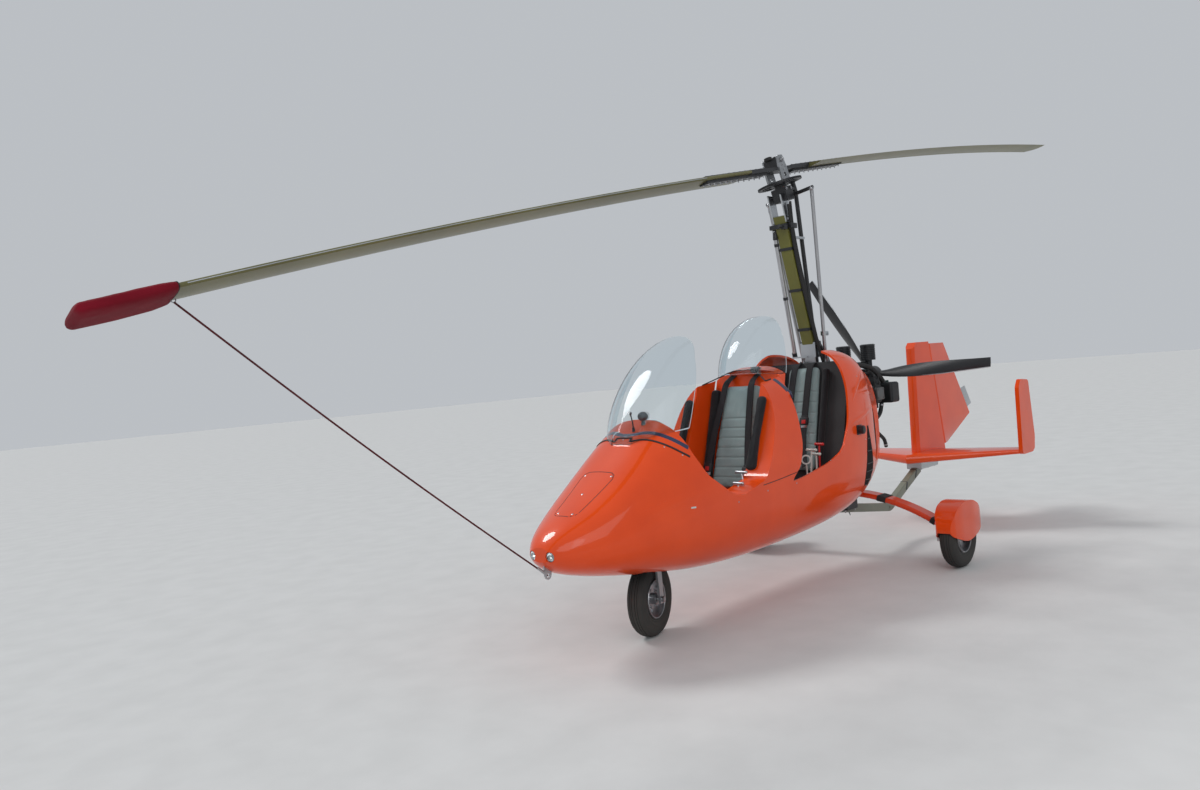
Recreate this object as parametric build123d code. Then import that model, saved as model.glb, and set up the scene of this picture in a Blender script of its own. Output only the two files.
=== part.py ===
from build123d import *
import os
from math import atan2, cos, degrees, hypot, radians, sin, tan

os.makedirs("parts", exist_ok=True)

# Gyrocopter: two seats in tandem in an open hull, an engine and pusher propeller behind them,
# a fin with a rudder, and a two-bladed rotor on a leaning mast.
# Millimetres. X points to the nose, Y to the left, Z up. Z = 0 is the ground, and the rotor
# hub stands over the origin.

# Gaps
running_gap = 0.3
seat_gap = 0.3
panel_gap = 1.4

# Hull skin. Each row is one cross-section: station, keel height, half width and height of
# its widest line, crown height, then how full it is below (across, up) and above (up, across).
hull_wall = 12.0
hull_rows = [
    (2300, 548, 66, 580, 618, 0.60, 0.60, 0.60, 0.60),
    (2262, 508, 118, 578, 662, 0.60, 0.60, 0.60, 0.60),
    (2130, 452, 218, 588, 745, 0.65, 0.60, 0.60, 0.70),
    (1800, 385, 330, 640, 955, 0.70, 0.65, 0.70, 0.72),
    (1500, 340, 372, 690, 1170, 0.75, 0.70, 0.72, 0.62),
    (1000, 310, 390, 708, 1310, 0.78, 0.72, 0.75, 0.75),
    (400, 325, 395, 716, 1392, 0.78, 0.72, 0.78, 0.75),
    (-50, 368, 395, 760, 1470, 0.78, 0.72, 0.86, 0.88),
    (-350, 440, 355, 800, 1437, 0.75, 0.72, 0.88, 0.88),
    (-660, 530, 245, 840, 1335, 0.72, 0.72, 0.88, 0.88),
]

# Cockpit opening, seen from the left: station and height along the sill, from the
# instrument hood to the front edge of the engine cowl.
sill_line = [(1500, 965), (1440, 853), (1263, 730), (1180, 712), (610, 718), (290, 772),
             (120, 830), (20, 990), (-25, 1180), (-50, 1470)]
hood_edge = (1530, 1200)
sill_softness = 0.6
above_all = 1900.0
slot_half_width = 200.0
slot_floor = 1180.0

# Fuel filler cap
cap_station = -105.0
cap_height = 930.0
cap_radius = 26.0

# Engine cowl
cowl_seam = -200.0
cowl_floor = 620.0
tail_arc = [(-470, 1500), (-645, 960), (-430, 400)]
outlet_station = -430.0
outlet_centre = 900.0
outlet_height = 520.0
outlet_width = 70.0

# Nose
hatch_front = 2135.0
hatch_rear = 1850.0
hatch_front_width = 150.0
hatch_rear_width = 230.0
hatch_corner = 40.0
lamp_radius = 24.0
lamp_spacing = 120.0
lamp_height = 577.0
lamp_depth = 60.0
lamp_face = 2290.0
eye_station = 2262.0
eye_height = 478.0
eye_bore = 10.0
eye_rim = 9.0
eye_thickness = 8.0

# Cabin floor and nose wheel well
floor_height = 400.0
floor_thickness = 10.0
floor_front = 1960.0
floor_rear = -340.0
well_front = 1775.0
well_rear = 1322.0
well_half_width = 178.0
well_roof = 492.0
well_wall = 6.0
firewall_station = -356.0
firewall_thickness = 8.0
firewall_foot = 470.0
firewall_top = 1180.0

# Seats. The outlines are station and height, seen from the left.
front_side_outline = [(1190, 400), (1190, 706), (950, 764), (874, 880), (790, 1050), (722, 1240),
                      (650, 1440), (470, 1440), (545, 1230), (552, 910), (600, 790), (700, 720), (700, 400)]
front_back_outline = [(1190, 400), (1190, 500), (764, 500), (744, 560), (505, 1300), (488, 1350),
                      (560, 1372), (500, 1395), (425, 1380), (470, 1200), (600, 790), (640, 400)]
front_back_foot = (744, 560)
front_back_head = (505, 1300)
front_pan_height = 500.0
front_pan_front = 1190.0
seat_recess_half = 232.0
cushion_thickness = 70.0
cushion_half = 225.0
rear_seat_side = [(370, 400), (370, 560), (30, 600), (-195, 1375), (-223, 1375), (-110, 400)]
rear_seat_half = 310.0
rear_back_foot = (30, 600)
rear_back_head = (-195, 1375)
rear_pan_height = 560.0
rear_cushion_half = 185.0
rear_cushion_thickness = 50.0

# Windscreens. Each row is one arch: station, half width and crown height.
screen_thickness = 4.0
screen_fullness = (0.78, 0.72)
front_screen_foot = 880.0
front_screen_rows = [
    (1690, 70, 1108),
    (1590, 200, 1245),
    (1450, 275, 1410),
    (1300, 302, 1530),
    (1060, 308, 1615),
]
front_screen_edge = [(1500, 930), (1480, 1000), (1378, 1233), (1264, 1460), (1110, 1660)]
rear_screen_foot = 1150.0
rear_screen_rows = [
    (700, 60, 1352),
    (610, 150, 1500),
    (510, 214, 1605),
    (415, 240, 1668),
    (270, 248, 1692),
]
rear_screen_edge = [(470, 1200), (414, 1374), (371, 1579), (285, 1780)]

# Instrument panel
panel_foot = (1590, 760)
panel_head = (1512, 1150)
panel_thickness = 10.0

# Levers and sticks: station and place across, and station and height
lever_places = [(1270, 190), (520, 120)]
stick_places = [(1270, 820), (440, 830)]

# Pedals
pedal_station = 1860.0
pedal_height = 540.0
pedal_reach = 150.0
pedal_rod_radius = 10.0
pedal_half = 40.0
pedal_place = 100.0
pedal_top = 650.0
pedal_thickness = 12.0
stick_foot_radius = 30.0
stick_radius = 11.0
stick_lean = 40.0
grip_radius = 20.0
grip_length = 140.0
lever_foot_half = (40, 20)
lever_foot_height = 50.0
lever_radius = 8.0
lever_lean = 20.0
lever_height = 280.0
handle_half = 45.0
handle_radius = 10.0

# Wheels
tyre_radius = 200.0
tyre_width = 100.0
rim_radius = 104.0
rim_width = 84.0
axle_radius = 12.5
hub_radius = 30.0
rim_flange = 8.0
rim_lip = 4.0
web_half = 12.0
rim_holes = 5
rim_hole_place = 66.0
rim_hole_radius = 19.0
tyre_shoulder = (46, 12, 8)
bead_step = 14.0
main_station = -541.0
main_track = 1574.0
nose_turn = 15.0
steer_station = 1575.0
nose_trail = 30.0
nose_head_height = 640.0
fork_half_width = 62.0
fork_thickness = 12.0
fork_crown = 425.0
fork_crown_thickness = 30.0
steer_tube_radius = 22.0
crown_front = 30.0
crown_rear = 45.0
fork_leg = (-40, 12)
fork_foot = 22.0
housing_wall = 12.0

# Main gear bow: one arc through the middle and both ends
bow_middle = 460.0
bow_end = 285.0
knuckle_reach = 122.0
bow_chord = 110.0
bow_thickness = 34.0
knuckle_width = 80.0
bow_corner = 12.0
bow_sweep = 40.0
knuckle_foot = 165.0
knuckle_head = 315.0
collar_radius = 20.5
nut_radius = 19.5
nut_reach = 14.0
spat_half_width = 74.0
spat_wall = 5.0
spat_outline = [(-325, 235), (-338, 330), (-400, 400), (-500, 430), (-620, 424), (-740, 380),
                (-830, 305), (-852, 255), (-790, 222), (-680, 195), (-540, 170), (-430, 195)]
spat_mouth_top = 250.0
spat_plan = [(-312, 26), (-350, 62), (-440, 74), (-640, 74), (-760, 60), (-862, 22),
             (-862, -22), (-760, -60), (-640, -74), (-440, -74), (-350, -62), (-312, -26)]
spat_plan_height = 600.0
spat_softness = 0.85

# Keel tube and tail
keel_points = [(-430, 362), (-1170, 250), (-1700, 470)]
keel_width = 50.0
keel_height = 60.0
keel_bend = 90.0
keel_corner = 6.0
tail_eye = (-1150, 253)
clamp_half_width = 60.0
clamp_margin = 16.0
clamp_foot = 340.0
clamp_head = 570.0
tail_eye_bore = 8.0
tail_pad_rear = -1950.0
tail_pad_length = 300.0
tail_pad_half = 60.0
tail_pad_foot = 470.0
tail_pad_head = 560.0
stab_root = (-1515, -2250, 82, 560)
stab_tip = (-1930, -2205, 42, 572)
stab_half_span = 700.0
outer_fin_height = 1118.0
outer_fin_thickness = 30.0
outer_fin_foot = 552.0
fin_foot = 602.0
fin_root = 580.0
fin_head = 1462.0
fin_front_foot = -1678.0
fin_front_head = -1712.0
fin_half_thickness = 36.0
hinge_foot = -2200.0
hinge_head = -2030.0
rudder_nose = 30.0
hinge_clearance = 6.0
# Rudder sections from the foot up: height and trailing edge station
rudder_rows = [(618, -2290), (820, -2784), (1446, -2345)]
lug_gap = 4.0
lug_radius = 12.0
hinge_pin_radius = 5.0
pin_reach = 30.0
rudder_tail_thickness = 6.0
tab_corners = [(-2630, 1040), (-2722, 1060), (-2838, 900), (-2742, 872)]
tab_thickness = 3.0

# Engine and propeller
prop_plane = -1085.0
prop_height = 1250.0
prop_radius = 865.0
prop_turn = 2.0
prop_hub_radius = 62.0
prop_hub_length = 70.0
# Propeller blade sections: share of the radius, chord, thickness, twist
prop_rows = [(0.055, 44, 40, 60), (0.26, 100, 22, 40), (0.6, 98, 14, 24), (1.0, 66, 7, 15)]
engine_front = -440.0
engine_rear = -930.0
intake_station = -862.0
intake_spacing = 190.0
intake_radius = 50.0
intake_top = 1468.0
case_half_width = 110.0
case_foot = 1010.0
case_top = 1240.0
cylinder_stations = [-600, -780]
cylinder_radius = 62.0
cylinder_reach = 200.0
cylinder_height = 1120.0
gearbox_radius = 95.0
gearbox_rear = -1030.0
gearbox_drop = 70.0
shaft_radius = 45.0
intake_body = 90.0
plenum = (-160, -120)
reservoir = ((-1025, 85, 1045), (-900, 235, 1190))
reservoir_corner = 18.0
mount_rod_radius = 14.0
mount_rod_places = [(80, 1050), (-80, 1050), (80, 1150), (-80, 1150)]
silencer_place = (-560, 900)
silencer_half = 150.0
silencer_radius = 55.0
stub_place = (-600, 110)
stub_radius = 16.0
cap_outside = 425.0

# Mast and rotor head
mast_foot = (-305, 480)
step_top = 480.0
step_box = (-342, -262, 110)
knee_half = (34, 56, 50)
lug_box = (-266, -200, 112)
collar_box = ((-75, -76), (8, 56))
collar_height = 28.0
mast_corner = 6.0
rod_radius = 12.0
mast_knee = (-256, 1460)
mast_head = (-12, 2345)
mast_width = 85.0
lug_top = 1422.0
collar_foot = 2262.0
mast_depth = 45.0
hub_height = 2640.0
disc_tilt = 9.73
disc_roll = -8.36
blade_turn = -3.95
blade_pitch = 3.8
rotor_radius = 4200.0
blade_chord = 200.0
blade_thickness = 25.0
blade_nose = 55.0
front_droop = 136.0
rear_droop = 152.0
hub_bar_half = 760.0
blade_root = 330.0
hub_bar_width = 96.0
hub_bar_thickness = 22.0
ring_radius = 145.0
ring_height = -92.0
ring_thickness = 14.0
ring_band = 26.0
tooth_depth = 5.0
tooth_width = 7.0
tooth_count = 60
spoke_width = 18.0
spoke_count = 6
ring_clearance = 6.0
pinion_radius = 16.0
arm_station = -75.0
arm_drop = 80.0
arm_half = 180.0
arm_radius = 12.0
yoke_thickness = 9.0
yoke_bolt_radius = 8.0
yoke_bolt = (-28, 2321)
gimbal_half = 45.0
bearing_radius = 38.0
yoke_outline = [(-72, 2296), (-4, 2296), (48, 2480), (-32, 2480)]
cheek_spacing = 97.0
teeter_height = 52.0
teeter_radius = 9.0
clamp_start = 150.0
clamp_half = 32.0
clamp_cap = 8.0
clamp_bolt_depth = 6.0
teeter_block = (38, 18)
bolt_head = 14.0
cheek_thickness = 14.0
cheek_width = 84.0
cheek_top = 84.0
cheek_hole_radius = 13.0
cheek_hole_height = -45.0
cover_length = 310.0
cover_past_tip = 35.0
cover_width = 226.0
cover_thickness = 50.0
cover_gap = 2.0
drive_bends = [(-312, 1560), (-480, 1380)]
drive_bend_radius = 150.0
drive_radius = 14.0
rod_guide = (-300, 83, 1372)
rod_bend = 200.0
trim_head = (-22, -60)
trim_foot = (-216, -98)
trim_radius = 14.0


def save(node, shape):
    """Write one node, as a compound where it has several solids."""
    solids = shape.solids()
    body = solids[0] if len(solids) == 1 else Compound(children=list(solids))
    export_step(body, f"parts/{node}.step")


def soft_outline(points, softness):
    """Closed outline whose corners are rounded as far as their sides allow."""
    count = len(points)
    radii = []
    for i, (px, py) in enumerate(points):
        ax, ay = points[i - 1]
        bx, by = points[(i + 1) % count]
        before = hypot(px - ax, py - ay)
        after = hypot(bx - px, by - py)
        turn = abs(atan2((px - ax) * (by - py) - (py - ay) * (bx - px),
                         (px - ax) * (bx - px) + (py - ay) * (by - py)))
        radii.append(softness * min(before, after) / 2 / tan(turn / 2))
    return make_face(FilletPolyline(*points, radius=radii, close=True))


def inset(points, depth):
    """The same outline with each side moved inwards."""
    count = len(points)
    moved = []
    for i, (px, py) in enumerate(points):
        ax, ay = points[i - 1]
        bx, by = points[(i + 1) % count]
        d1 = Vector(px - ax, py - ay).normalized()
        d2 = Vector(bx - px, by - py).normalized()
        n1 = Vector(-d1.Y, d1.X)
        n2 = Vector(-d2.Y, d2.X)
        middle = n1 + n2
        step = depth / (1 + n1.dot(n2))
        moved.append((px + middle.X * step, py + middle.Y * step))
    return moved


def from_left(points, half_width, softness=0.0, middle=0.0):
    """Side view outline, station and height, made as thick as the part is wide."""
    plane = Plane(origin=(0, middle, 0), x_dir=(1, 0, 0), z_dir=(0, -1, 0))
    face = soft_outline(points, softness) if softness else make_face(Polyline(*points, close=True))
    return extrude(plane * face, half_width, both=True)


def rod(start, end, radius):
    path = Vector(*end) - Vector(*start)
    return Plane(origin=start, z_dir=path) * Cylinder(
        radius, path.length, align=(Align.CENTER, Align.CENTER, Align.MIN))


def tube_along(points, bend, radius):
    path = FilletPolyline(*points, radius=bend)
    return sweep(Plane(origin=path @ 0, z_dir=path % 0) * Circle(radius), path)


def block(low, high):
    size = [b - a for a, b in zip(low, high)]
    middle = [(a + b) / 2 for a, b in zip(low, high)]
    return Pos(*middle) * Box(*size)


# Hull skin and the space inside it

def egg(x, keel, half_width, middle, crown, low_across, low_up, high_up, high_across):
    """One cross-section: a rounded quarter below and above on each side."""
    halves = []
    for side in (1, -1):
        wide = side * half_width
        below = Bezier((x, 0, keel), (x, wide * low_across, keel),
                       (x, wide, middle - (middle - keel) * low_up), (x, wide, middle))
        above = Bezier((x, wide, middle), (x, wide, middle + (crown - middle) * high_up),
                       (x, wide * high_across, crown), (x, 0, crown))
        halves.append((below.edge(), above.edge()))
    left, right = halves
    return Face(Wire([left[0], left[1], right[1], right[0]]))


def hull_body(depth):
    """The hull as a solid, its sides moved in by a depth."""
    sections = []
    for i, (x, keel, half_width, middle, crown, *fullness) in enumerate(hull_rows):
        if depth and i == 0:
            continue
        station = x - depth if i == 1 else x
        sections.append(egg(station, keel + depth, half_width - depth, middle, crown - depth, *fullness))
    return loft(sections)


def cockpit_cut():
    outline = [*sill_line, (sill_line[-1][0], above_all), (hood_edge[0], above_all), hood_edge]
    return from_left(outline, 600, sill_softness)


def slot_cut():
    return block((-900, -slot_half_width, slot_floor), (sill_line[-1][0] + 60, slot_half_width, above_all))


def tail_trim():
    """What lies behind the curved rear edge of hull and cowl."""
    curve = ThreePointArc(*tail_arc)
    top, foot = tail_arc[0], tail_arc[-1]
    back = Polyline(foot, (-1200, foot[1]), (-1200, top[1]), top)
    plane = Plane(origin=(0, 0, 0), x_dir=(1, 0, 0), z_dir=(0, -1, 0))
    return extrude(plane * make_face([curve, *back.edges()]), 600, both=True)


def well_space(extra):
    return block((well_rear - extra, -well_half_width - extra, 250),
                 (well_front + extra, well_half_width + extra, well_roof + extra))


def hatch_prism(gap):
    """The hatch seen from above, as a column up through the nose."""
    wide, narrow = hatch_rear_width / 2 - gap, hatch_front_width / 2 - gap
    front, rear = hatch_front - gap, hatch_rear + gap
    face = make_face(FilletPolyline((front, narrow), (rear, wide), (rear, -wide), (front, -narrow),
                                    radius=hatch_corner, close=True))
    return extrude(Pos(0, 0, lamp_height + 60) * face, 600)


def lamp_places(radius):
    return [rod((lamp_face - lamp_depth, side * lamp_spacing / 2, lamp_height),
                (lamp_face + 80, side * lamp_spacing / 2, lamp_height), radius) for side in (1, -1)]


outer = hull_body(0)
inner = hull_body(hull_wall)
core = hull_body(hull_wall + seat_gap)
skin = outer - inner - cockpit_cut() - slot_cut() - tail_trim()
cowl_side = block((-1000, -600, cowl_floor), (cowl_seam, 600, above_all))
outlet = from_left([(outlet_station, outlet_centre - outlet_height / 2),
                    (outlet_station + outlet_width / 2, outlet_centre),
                    (outlet_station, outlet_centre + outlet_height / 2),
                    (outlet_station - outlet_width / 2, outlet_centre)], 600, 0.6)
cowls = (skin & cowl_side) - outlet
hatch = (skin & hatch_prism(panel_gap / 2))
hull_shell = skin - cowl_side - hatch_prism(0) - well_space(0)
for hole in lamp_places(lamp_radius + seat_gap):
    hull_shell -= hole
save("hull_shell", hull_shell)
save("nose_hatch", hatch)
save("engine_cowl_left", cowls.solids().sort_by(Axis.Y)[-1])
save("engine_cowl_right", cowls.solids().sort_by(Axis.Y)[0])
lamps = [place & outer for place in lamp_places(lamp_radius)]
save("nose_lights", Compound(children=[part.solid() for part in lamps]))

# Eye under the nose that a tie-down line or tow hook goes through
eye_plate = from_left([(eye_station - 22, eye_height + 90), (eye_station - 22, eye_height),
                       (eye_station + 22, eye_height), (eye_station + 22, eye_height + 90)],
                      eye_thickness / 2)
eye_plate += Pos(eye_station, 0, eye_height) * Rot(90, 0, 0) * Cylinder(eye_bore + eye_rim, eye_thickness)
eye_plate -= Pos(eye_station, 0, eye_height) * Rot(90, 0, 0) * Cylinder(eye_bore, 40)
eye_plate -= outer
save("nose_eye", eye_plate.solids().sort_by(Axis.Z)[0])

# Floor, wheel well, firewall
well = (well_space(well_wall) - well_space(0)) & core
well += rod((steer_station, 0, well_roof), (steer_station, 0, nose_head_height - steer_tube_radius),
            steer_tube_radius + housing_wall)
well -= rod((steer_station, 0, 0), (steer_station, 0, above_all), steer_tube_radius + running_gap)
save("wheel_well", well)
floor = block((floor_rear, -500, floor_height), (floor_front, 500, floor_height + floor_thickness)) & core
floor -= well_space(well_wall + seat_gap)
save("cabin_floor", floor)
firewall = block((firewall_station - firewall_thickness, -500, firewall_foot),
                 (firewall_station, 500, firewall_top)) & core
save("firewall", firewall)

# Front seat: a shell across the hull between the cockpits, with its back and sides
floor_top = floor_height + floor_thickness


front_sides = from_left(front_side_outline, 600, sill_softness) & outer
front_sides -= block((0, -seat_recess_half, 0), (2000, seat_recess_half, 2000))
front_back = from_left(front_back_outline, seat_recess_half) & outer
front_shell = front_sides + front_back - skin - floor
save("front_seat_shell", front_shell.solids().sort_by(SortBy.VOLUME)[-1])


def pad(plane, half_width, length, thickness, corner=40.0):
    """Rounded slab on a plane, from the plane's own X axis upwards along its Y axis."""
    return extrude(plane * Pos(0, length / 2) * RectangleRounded(2 * half_width, length, corner), thickness)


def back_plane(foot, head, gap):
    """Plane on the front of a leaning back, with its length."""
    run = Vector(head[0] - foot[0], head[1] - foot[1])
    lean = run.normalized()
    normal = Vector(lean.Y, 0, -lean.X)
    origin = Vector(foot[0], 0, foot[1]) + normal * gap
    return Plane(origin=origin, x_dir=(0, 1, 0), z_dir=normal), run.length


def flat_plane(front, height):
    """Plane on a seat pan, its length running aft from its front edge."""
    return Plane(origin=(front, 0, height), x_dir=(0, 1, 0), z_dir=(0, 0, 1))


front_plane, front_length = back_plane(front_back_foot, front_back_head, seat_gap)
front_back_pad = pad(Plane(origin=front_plane.origin + front_plane.y_dir * 90, x_dir=front_plane.x_dir,
                           z_dir=front_plane.z_dir), cushion_half, front_length - 110, cushion_thickness)
front_pan_pad = pad(flat_plane(front_pan_front - 20, front_pan_height + seat_gap), cushion_half,
                    front_pan_front - 20 - front_back_foot[0] - 25, cushion_thickness) - front_back_pad
save("front_cushions", Compound(children=[front_back_pad.solid(), front_pan_pad.solid()]))

rear_shell = from_left([(x, max(z, floor_top + seat_gap)) for x, z in rear_seat_side], rear_seat_half) & core
save("rear_seat_shell", rear_shell)
rear_plane, rear_length = back_plane(rear_back_foot, rear_back_head, 0)
rear_face = Plane(origin=rear_plane.origin + rear_plane.z_dir * seat_gap + rear_plane.y_dir * 60,
                  x_dir=rear_plane.x_dir, z_dir=rear_plane.z_dir)
rear_back_pad = pad(rear_face, rear_cushion_half, rear_length - 70, rear_cushion_thickness) - rear_shell

rear_pan_pad = pad(flat_plane(rear_seat_side[1][0] - 6, rear_pan_height + seat_gap), rear_cushion_half,
                   270, cushion_thickness) - rear_shell - rear_back_pad
save("rear_cushions", Compound(children=[rear_back_pad.solids().sort_by(SortBy.VOLUME)[-1],
                                         rear_pan_pad.solids().sort_by(SortBy.VOLUME)[-1]]))


# Windscreens

def arch(x, half_width, foot, crown):
    """Arch closed by a level line at its foot."""
    up, across_top = screen_fullness
    curves = []
    for side in (1, -1):
        wide = side * half_width
        curves.append(Bezier((x, wide, foot), (x, wide, foot + (crown - foot) * up),
                             (x, wide * across_top, crown), (x, 0, crown)).edge())
    return Face(Wire([curves[0], curves[1], Edge.make_line((x, -half_width, foot), (x, half_width, foot))]))


def screen(rows, foot, edge):
    """Bent clear sheet between arches, cut off along its rear edge."""
    def bulge(depth):
        return loft([arch(x - (depth if i == 0 else 0), wide - depth, foot - depth, crown - depth)
                     for i, (x, wide, crown) in enumerate(rows)])
    sheet = bulge(0) - bulge(screen_thickness)
    far = rows[-1][0] - 200
    behind = [*edge, (far, edge[-1][1]), (far, foot - 200), (edge[0][0], foot - 200)]
    return sheet - from_left(behind, 500)


front_screen = screen(front_screen_rows, front_screen_foot, front_screen_edge) - outer
save("front_windscreen", front_screen.solids().sort_by(Axis.Z)[-1])
rear_screen = screen(rear_screen_rows, rear_screen_foot, rear_screen_edge) - outer
save("rear_windscreen", rear_screen.solids().sort_by(Axis.Z)[-1])


# Instrument panel and controls
panel_plane, panel_length = back_plane(panel_foot, panel_head, 0)
panel_face = Pos(0, panel_length / 2) * Rectangle(1000, panel_length)
panel = extrude(panel_plane * panel_face, -panel_thickness) & core
save("instrument_panel", panel)


def stick(station, height):
    """Control stick with a fat grip on a round foot."""
    foot = rod((station, 0, floor_top + seat_gap), (station, 0, floor_top + stick_foot_radius),
               stick_foot_radius)
    top = station - stick_lean
    shaft = rod((station, 0, floor_top + stick_radius), (top, 0, height - grip_length + stick_radius),
                stick_radius)
    grip = rod((top, 0, height - grip_length), (top - stick_lean / 5, 0, height), grip_radius)
    return foot + shaft + grip


save("control_sticks", Compound(children=[stick(station, height).solid()
                                          for station, height in stick_places]))


def lever(station, side):
    """Throttle and brake lever: a leaning shaft with a cross handle."""
    long_half, cross_half = lever_foot_half
    foot = block((station - long_half, side - cross_half, floor_top + seat_gap),
                 (station + long_half, side + cross_half, floor_top + lever_foot_height))
    top = station - lever_lean
    height = floor_top + lever_height
    shaft = rod((station, side, floor_top + cross_half), (top, side, height), lever_radius)
    handle = rod((top, side - handle_half, height), (top, side + handle_half, height), handle_radius)
    return foot + shaft + handle


save("levers", Compound(children=[lever(station, side).solid() for station, side in lever_places]))
pedals = rod((pedal_station, -pedal_reach, pedal_height), (pedal_station, pedal_reach, pedal_height),
             pedal_rod_radius)
for side in (1, -1):
    pedals += block((pedal_station - pedal_thickness / 2, side * pedal_place - pedal_half, pedal_height),
                    (pedal_station + pedal_thickness / 2, side * pedal_place + pedal_half, pedal_top))
    pedals += block((pedal_station - pedal_rod_radius, side * pedal_reach - pedal_rod_radius,
                     floor_top + seat_gap),
                    (pedal_station + pedal_rod_radius, side * pedal_reach + pedal_rod_radius,
                     pedal_height + pedal_rod_radius))
save("pedals", pedals & core)


# Wheels, each drawn about its own axle along Y

def tyre():
    half = tyre_width / 2
    crown = tyre_radius
    bead = rim_radius + seat_gap
    wall, tread, edge = tyre_shoulder
    profile = make_face(FilletPolyline((bead, -half + bead_step), (crown - wall, -half),
                                       (crown - tread, -half + edge), (crown, 0),
                                       (crown - tread, half - edge), (crown - wall, half),
                                       (bead, half - bead_step), radius=tread, close=True))
    return wheel_revolve(profile)


def wheel_revolve(profile):
    """Turn a profile, radius and width, about the axle."""
    plane = Plane(origin=(0, 0, 0), x_dir=(1, 0, 0), z_dir=(0, 0, 1))
    return revolve(plane * profile, Axis.Y)


def rim():
    half = rim_width / 2
    bore = axle_radius + running_gap
    well, lip = rim_radius - rim_flange, half - rim_lip
    profile = make_face(Polyline((bore, -half), (hub_radius, -half), (hub_radius, -web_half),
                                 (well, -web_half), (well, -lip), (rim_radius, -lip), (rim_radius, lip),
                                 (well, lip), (well, web_half), (hub_radius, web_half),
                                 (hub_radius, half), (bore, half), close=True))
    wheel = wheel_revolve(profile)
    for i in range(rim_holes):
        hole = Pos(rim_hole_place, 0, 0) * Rot(90, 0, 0) * Cylinder(rim_hole_radius, rim_width)
        wheel -= Rot(0, 360 / rim_holes * i, 0) * hole
    return wheel


def axle(half_length):
    return Rot(90, 0, 0) * Cylinder(axle_radius, 2 * half_length)


wheel_tyre = tyre()
wheel_rim = rim()
for name, side in (("left", 1), ("right", -1)):
    place = Pos(main_station, side * main_track / 2, tyre_radius)
    save(f"main_tyre_{name}", place * wheel_tyre)
    save(f"main_rim_{name}", place * wheel_rim)

# Gear bow, with a knuckle plate and stub axle at each end
bow_half_span = main_track / 2 - knuckle_reach
bow_drop = bow_middle - bow_end
bow_arc_radius = (bow_half_span ** 2 + bow_drop ** 2) / (2 * bow_drop)
bow_centre = bow_middle - bow_arc_radius
bow_section = Plane(origin=(main_station, 0, bow_middle), x_dir=(1, 0, 0), z_dir=(0, 1, 0)) * \
    RectangleRounded(bow_chord, bow_thickness, bow_corner)
bow_axis = Axis((main_station, 0, bow_centre), (1, 0, 0))
bow = revolve(bow_section, bow_axis, bow_sweep) + revolve(bow_section, bow_axis, -bow_sweep)
bow &= block((main_station - bow_chord, -bow_half_span, 0),
             (main_station + bow_chord, bow_half_span, above_all))
save("gear_bow", bow)
knuckle_inner = bow_half_span
spat_inner = main_track / 2 - spat_half_width
for name, side in (("left", 1), ("right", -1)):
    plate = block((main_station - knuckle_width / 2, min(side * knuckle_inner, side * (spat_inner - 1)),
                   knuckle_foot),
                  (main_station + knuckle_width / 2, max(side * knuckle_inner, side * (spat_inner - 1)),
                   knuckle_head))
    stub = rod((main_station, side * knuckle_inner, tyre_radius),
               (main_station, side * (main_track / 2 + rim_width / 2 + nut_reach), tyre_radius), axle_radius)
    collar = rod((main_station, side * knuckle_inner, tyre_radius),
                 (main_station, side * (main_track / 2 - rim_width / 2 - 1), tyre_radius), collar_radius)
    nut = rod((main_station, side * (main_track / 2 + rim_width / 2 + 1), tyre_radius),
              (main_station, side * (main_track / 2 + rim_width / 2 + nut_reach), tyre_radius), nut_radius)
    save(f"main_axle_{name}", plate + stub + collar + nut)


def spat_form(depth, middle):
    """Fairing shape from its side and top outlines, taken in by a depth."""
    side_form = from_left(inset(spat_outline, depth), spat_half_width - depth, spat_softness, middle)
    top_form = extrude(soft_outline(inset(spat_plan, depth), spat_softness), spat_plan_height)
    return side_form & Pos(0, middle, 0) * top_form


def spat(side):
    """Wheel fairing: a rounded hood open below, with a hole for the axle."""
    middle = side * main_track / 2
    inner = spat_half_width - spat_wall
    mouth = block((spat_outline[7][0] + 4 * spat_wall, middle - inner, 0),
                  (spat_outline[0][0] - spat_wall, middle + inner, spat_mouth_top))
    mouth &= Pos(0, middle, 0) * extrude(soft_outline(inset(spat_plan, spat_wall), spat_softness),
                                         spat_plan_height)
    hole = rod((main_station, middle - side * 2 * spat_half_width, tyre_radius),
               (main_station, middle, tyre_radius), collar_radius + seat_gap)
    fairing = spat_form(0, middle) - spat_form(spat_wall, middle) - mouth - hole
    return fairing.solids().sort_by(SortBy.VOLUME)[-1]


for name, side in (("left", 1), ("right", -1)):
    save(f"spat_{name}", spat(side))

# Nose gear, drawn straight and then turned about the steering axis
nose_spin = Pos(steer_station, 0, 0) * Rot(0, 0, nose_turn) * Pos(-steer_station, 0, 0)
nose_hub = (steer_station - nose_trail, 0, tyre_radius)
save("nose_tyre", nose_spin * (Pos(*nose_hub) * wheel_tyre))
save("nose_rim", nose_spin * (Pos(*nose_hub) * wheel_rim))
fork = block((steer_station - crown_rear, -fork_half_width - fork_thickness, fork_crown),
             (steer_station + crown_front, fork_half_width + fork_thickness,
              fork_crown + fork_crown_thickness))
fork += rod((steer_station, 0, fork_crown), (steer_station, 0, nose_head_height), steer_tube_radius)
for side in (1, -1):
    y0 = side * fork_half_width
    y1 = side * (fork_half_width + fork_thickness)
    leg_top = fork_crown + fork_crown_thickness / 3
    leg = from_left([(steer_station + fork_leg[0], leg_top), (steer_station + fork_leg[1], leg_top),
                     (nose_hub[0] + fork_foot, tyre_radius - fork_foot),
                     (nose_hub[0] - fork_foot, tyre_radius - fork_foot)],
                    fork_thickness / 2, 0, (y0 + y1) / 2)
    fork += leg
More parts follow.
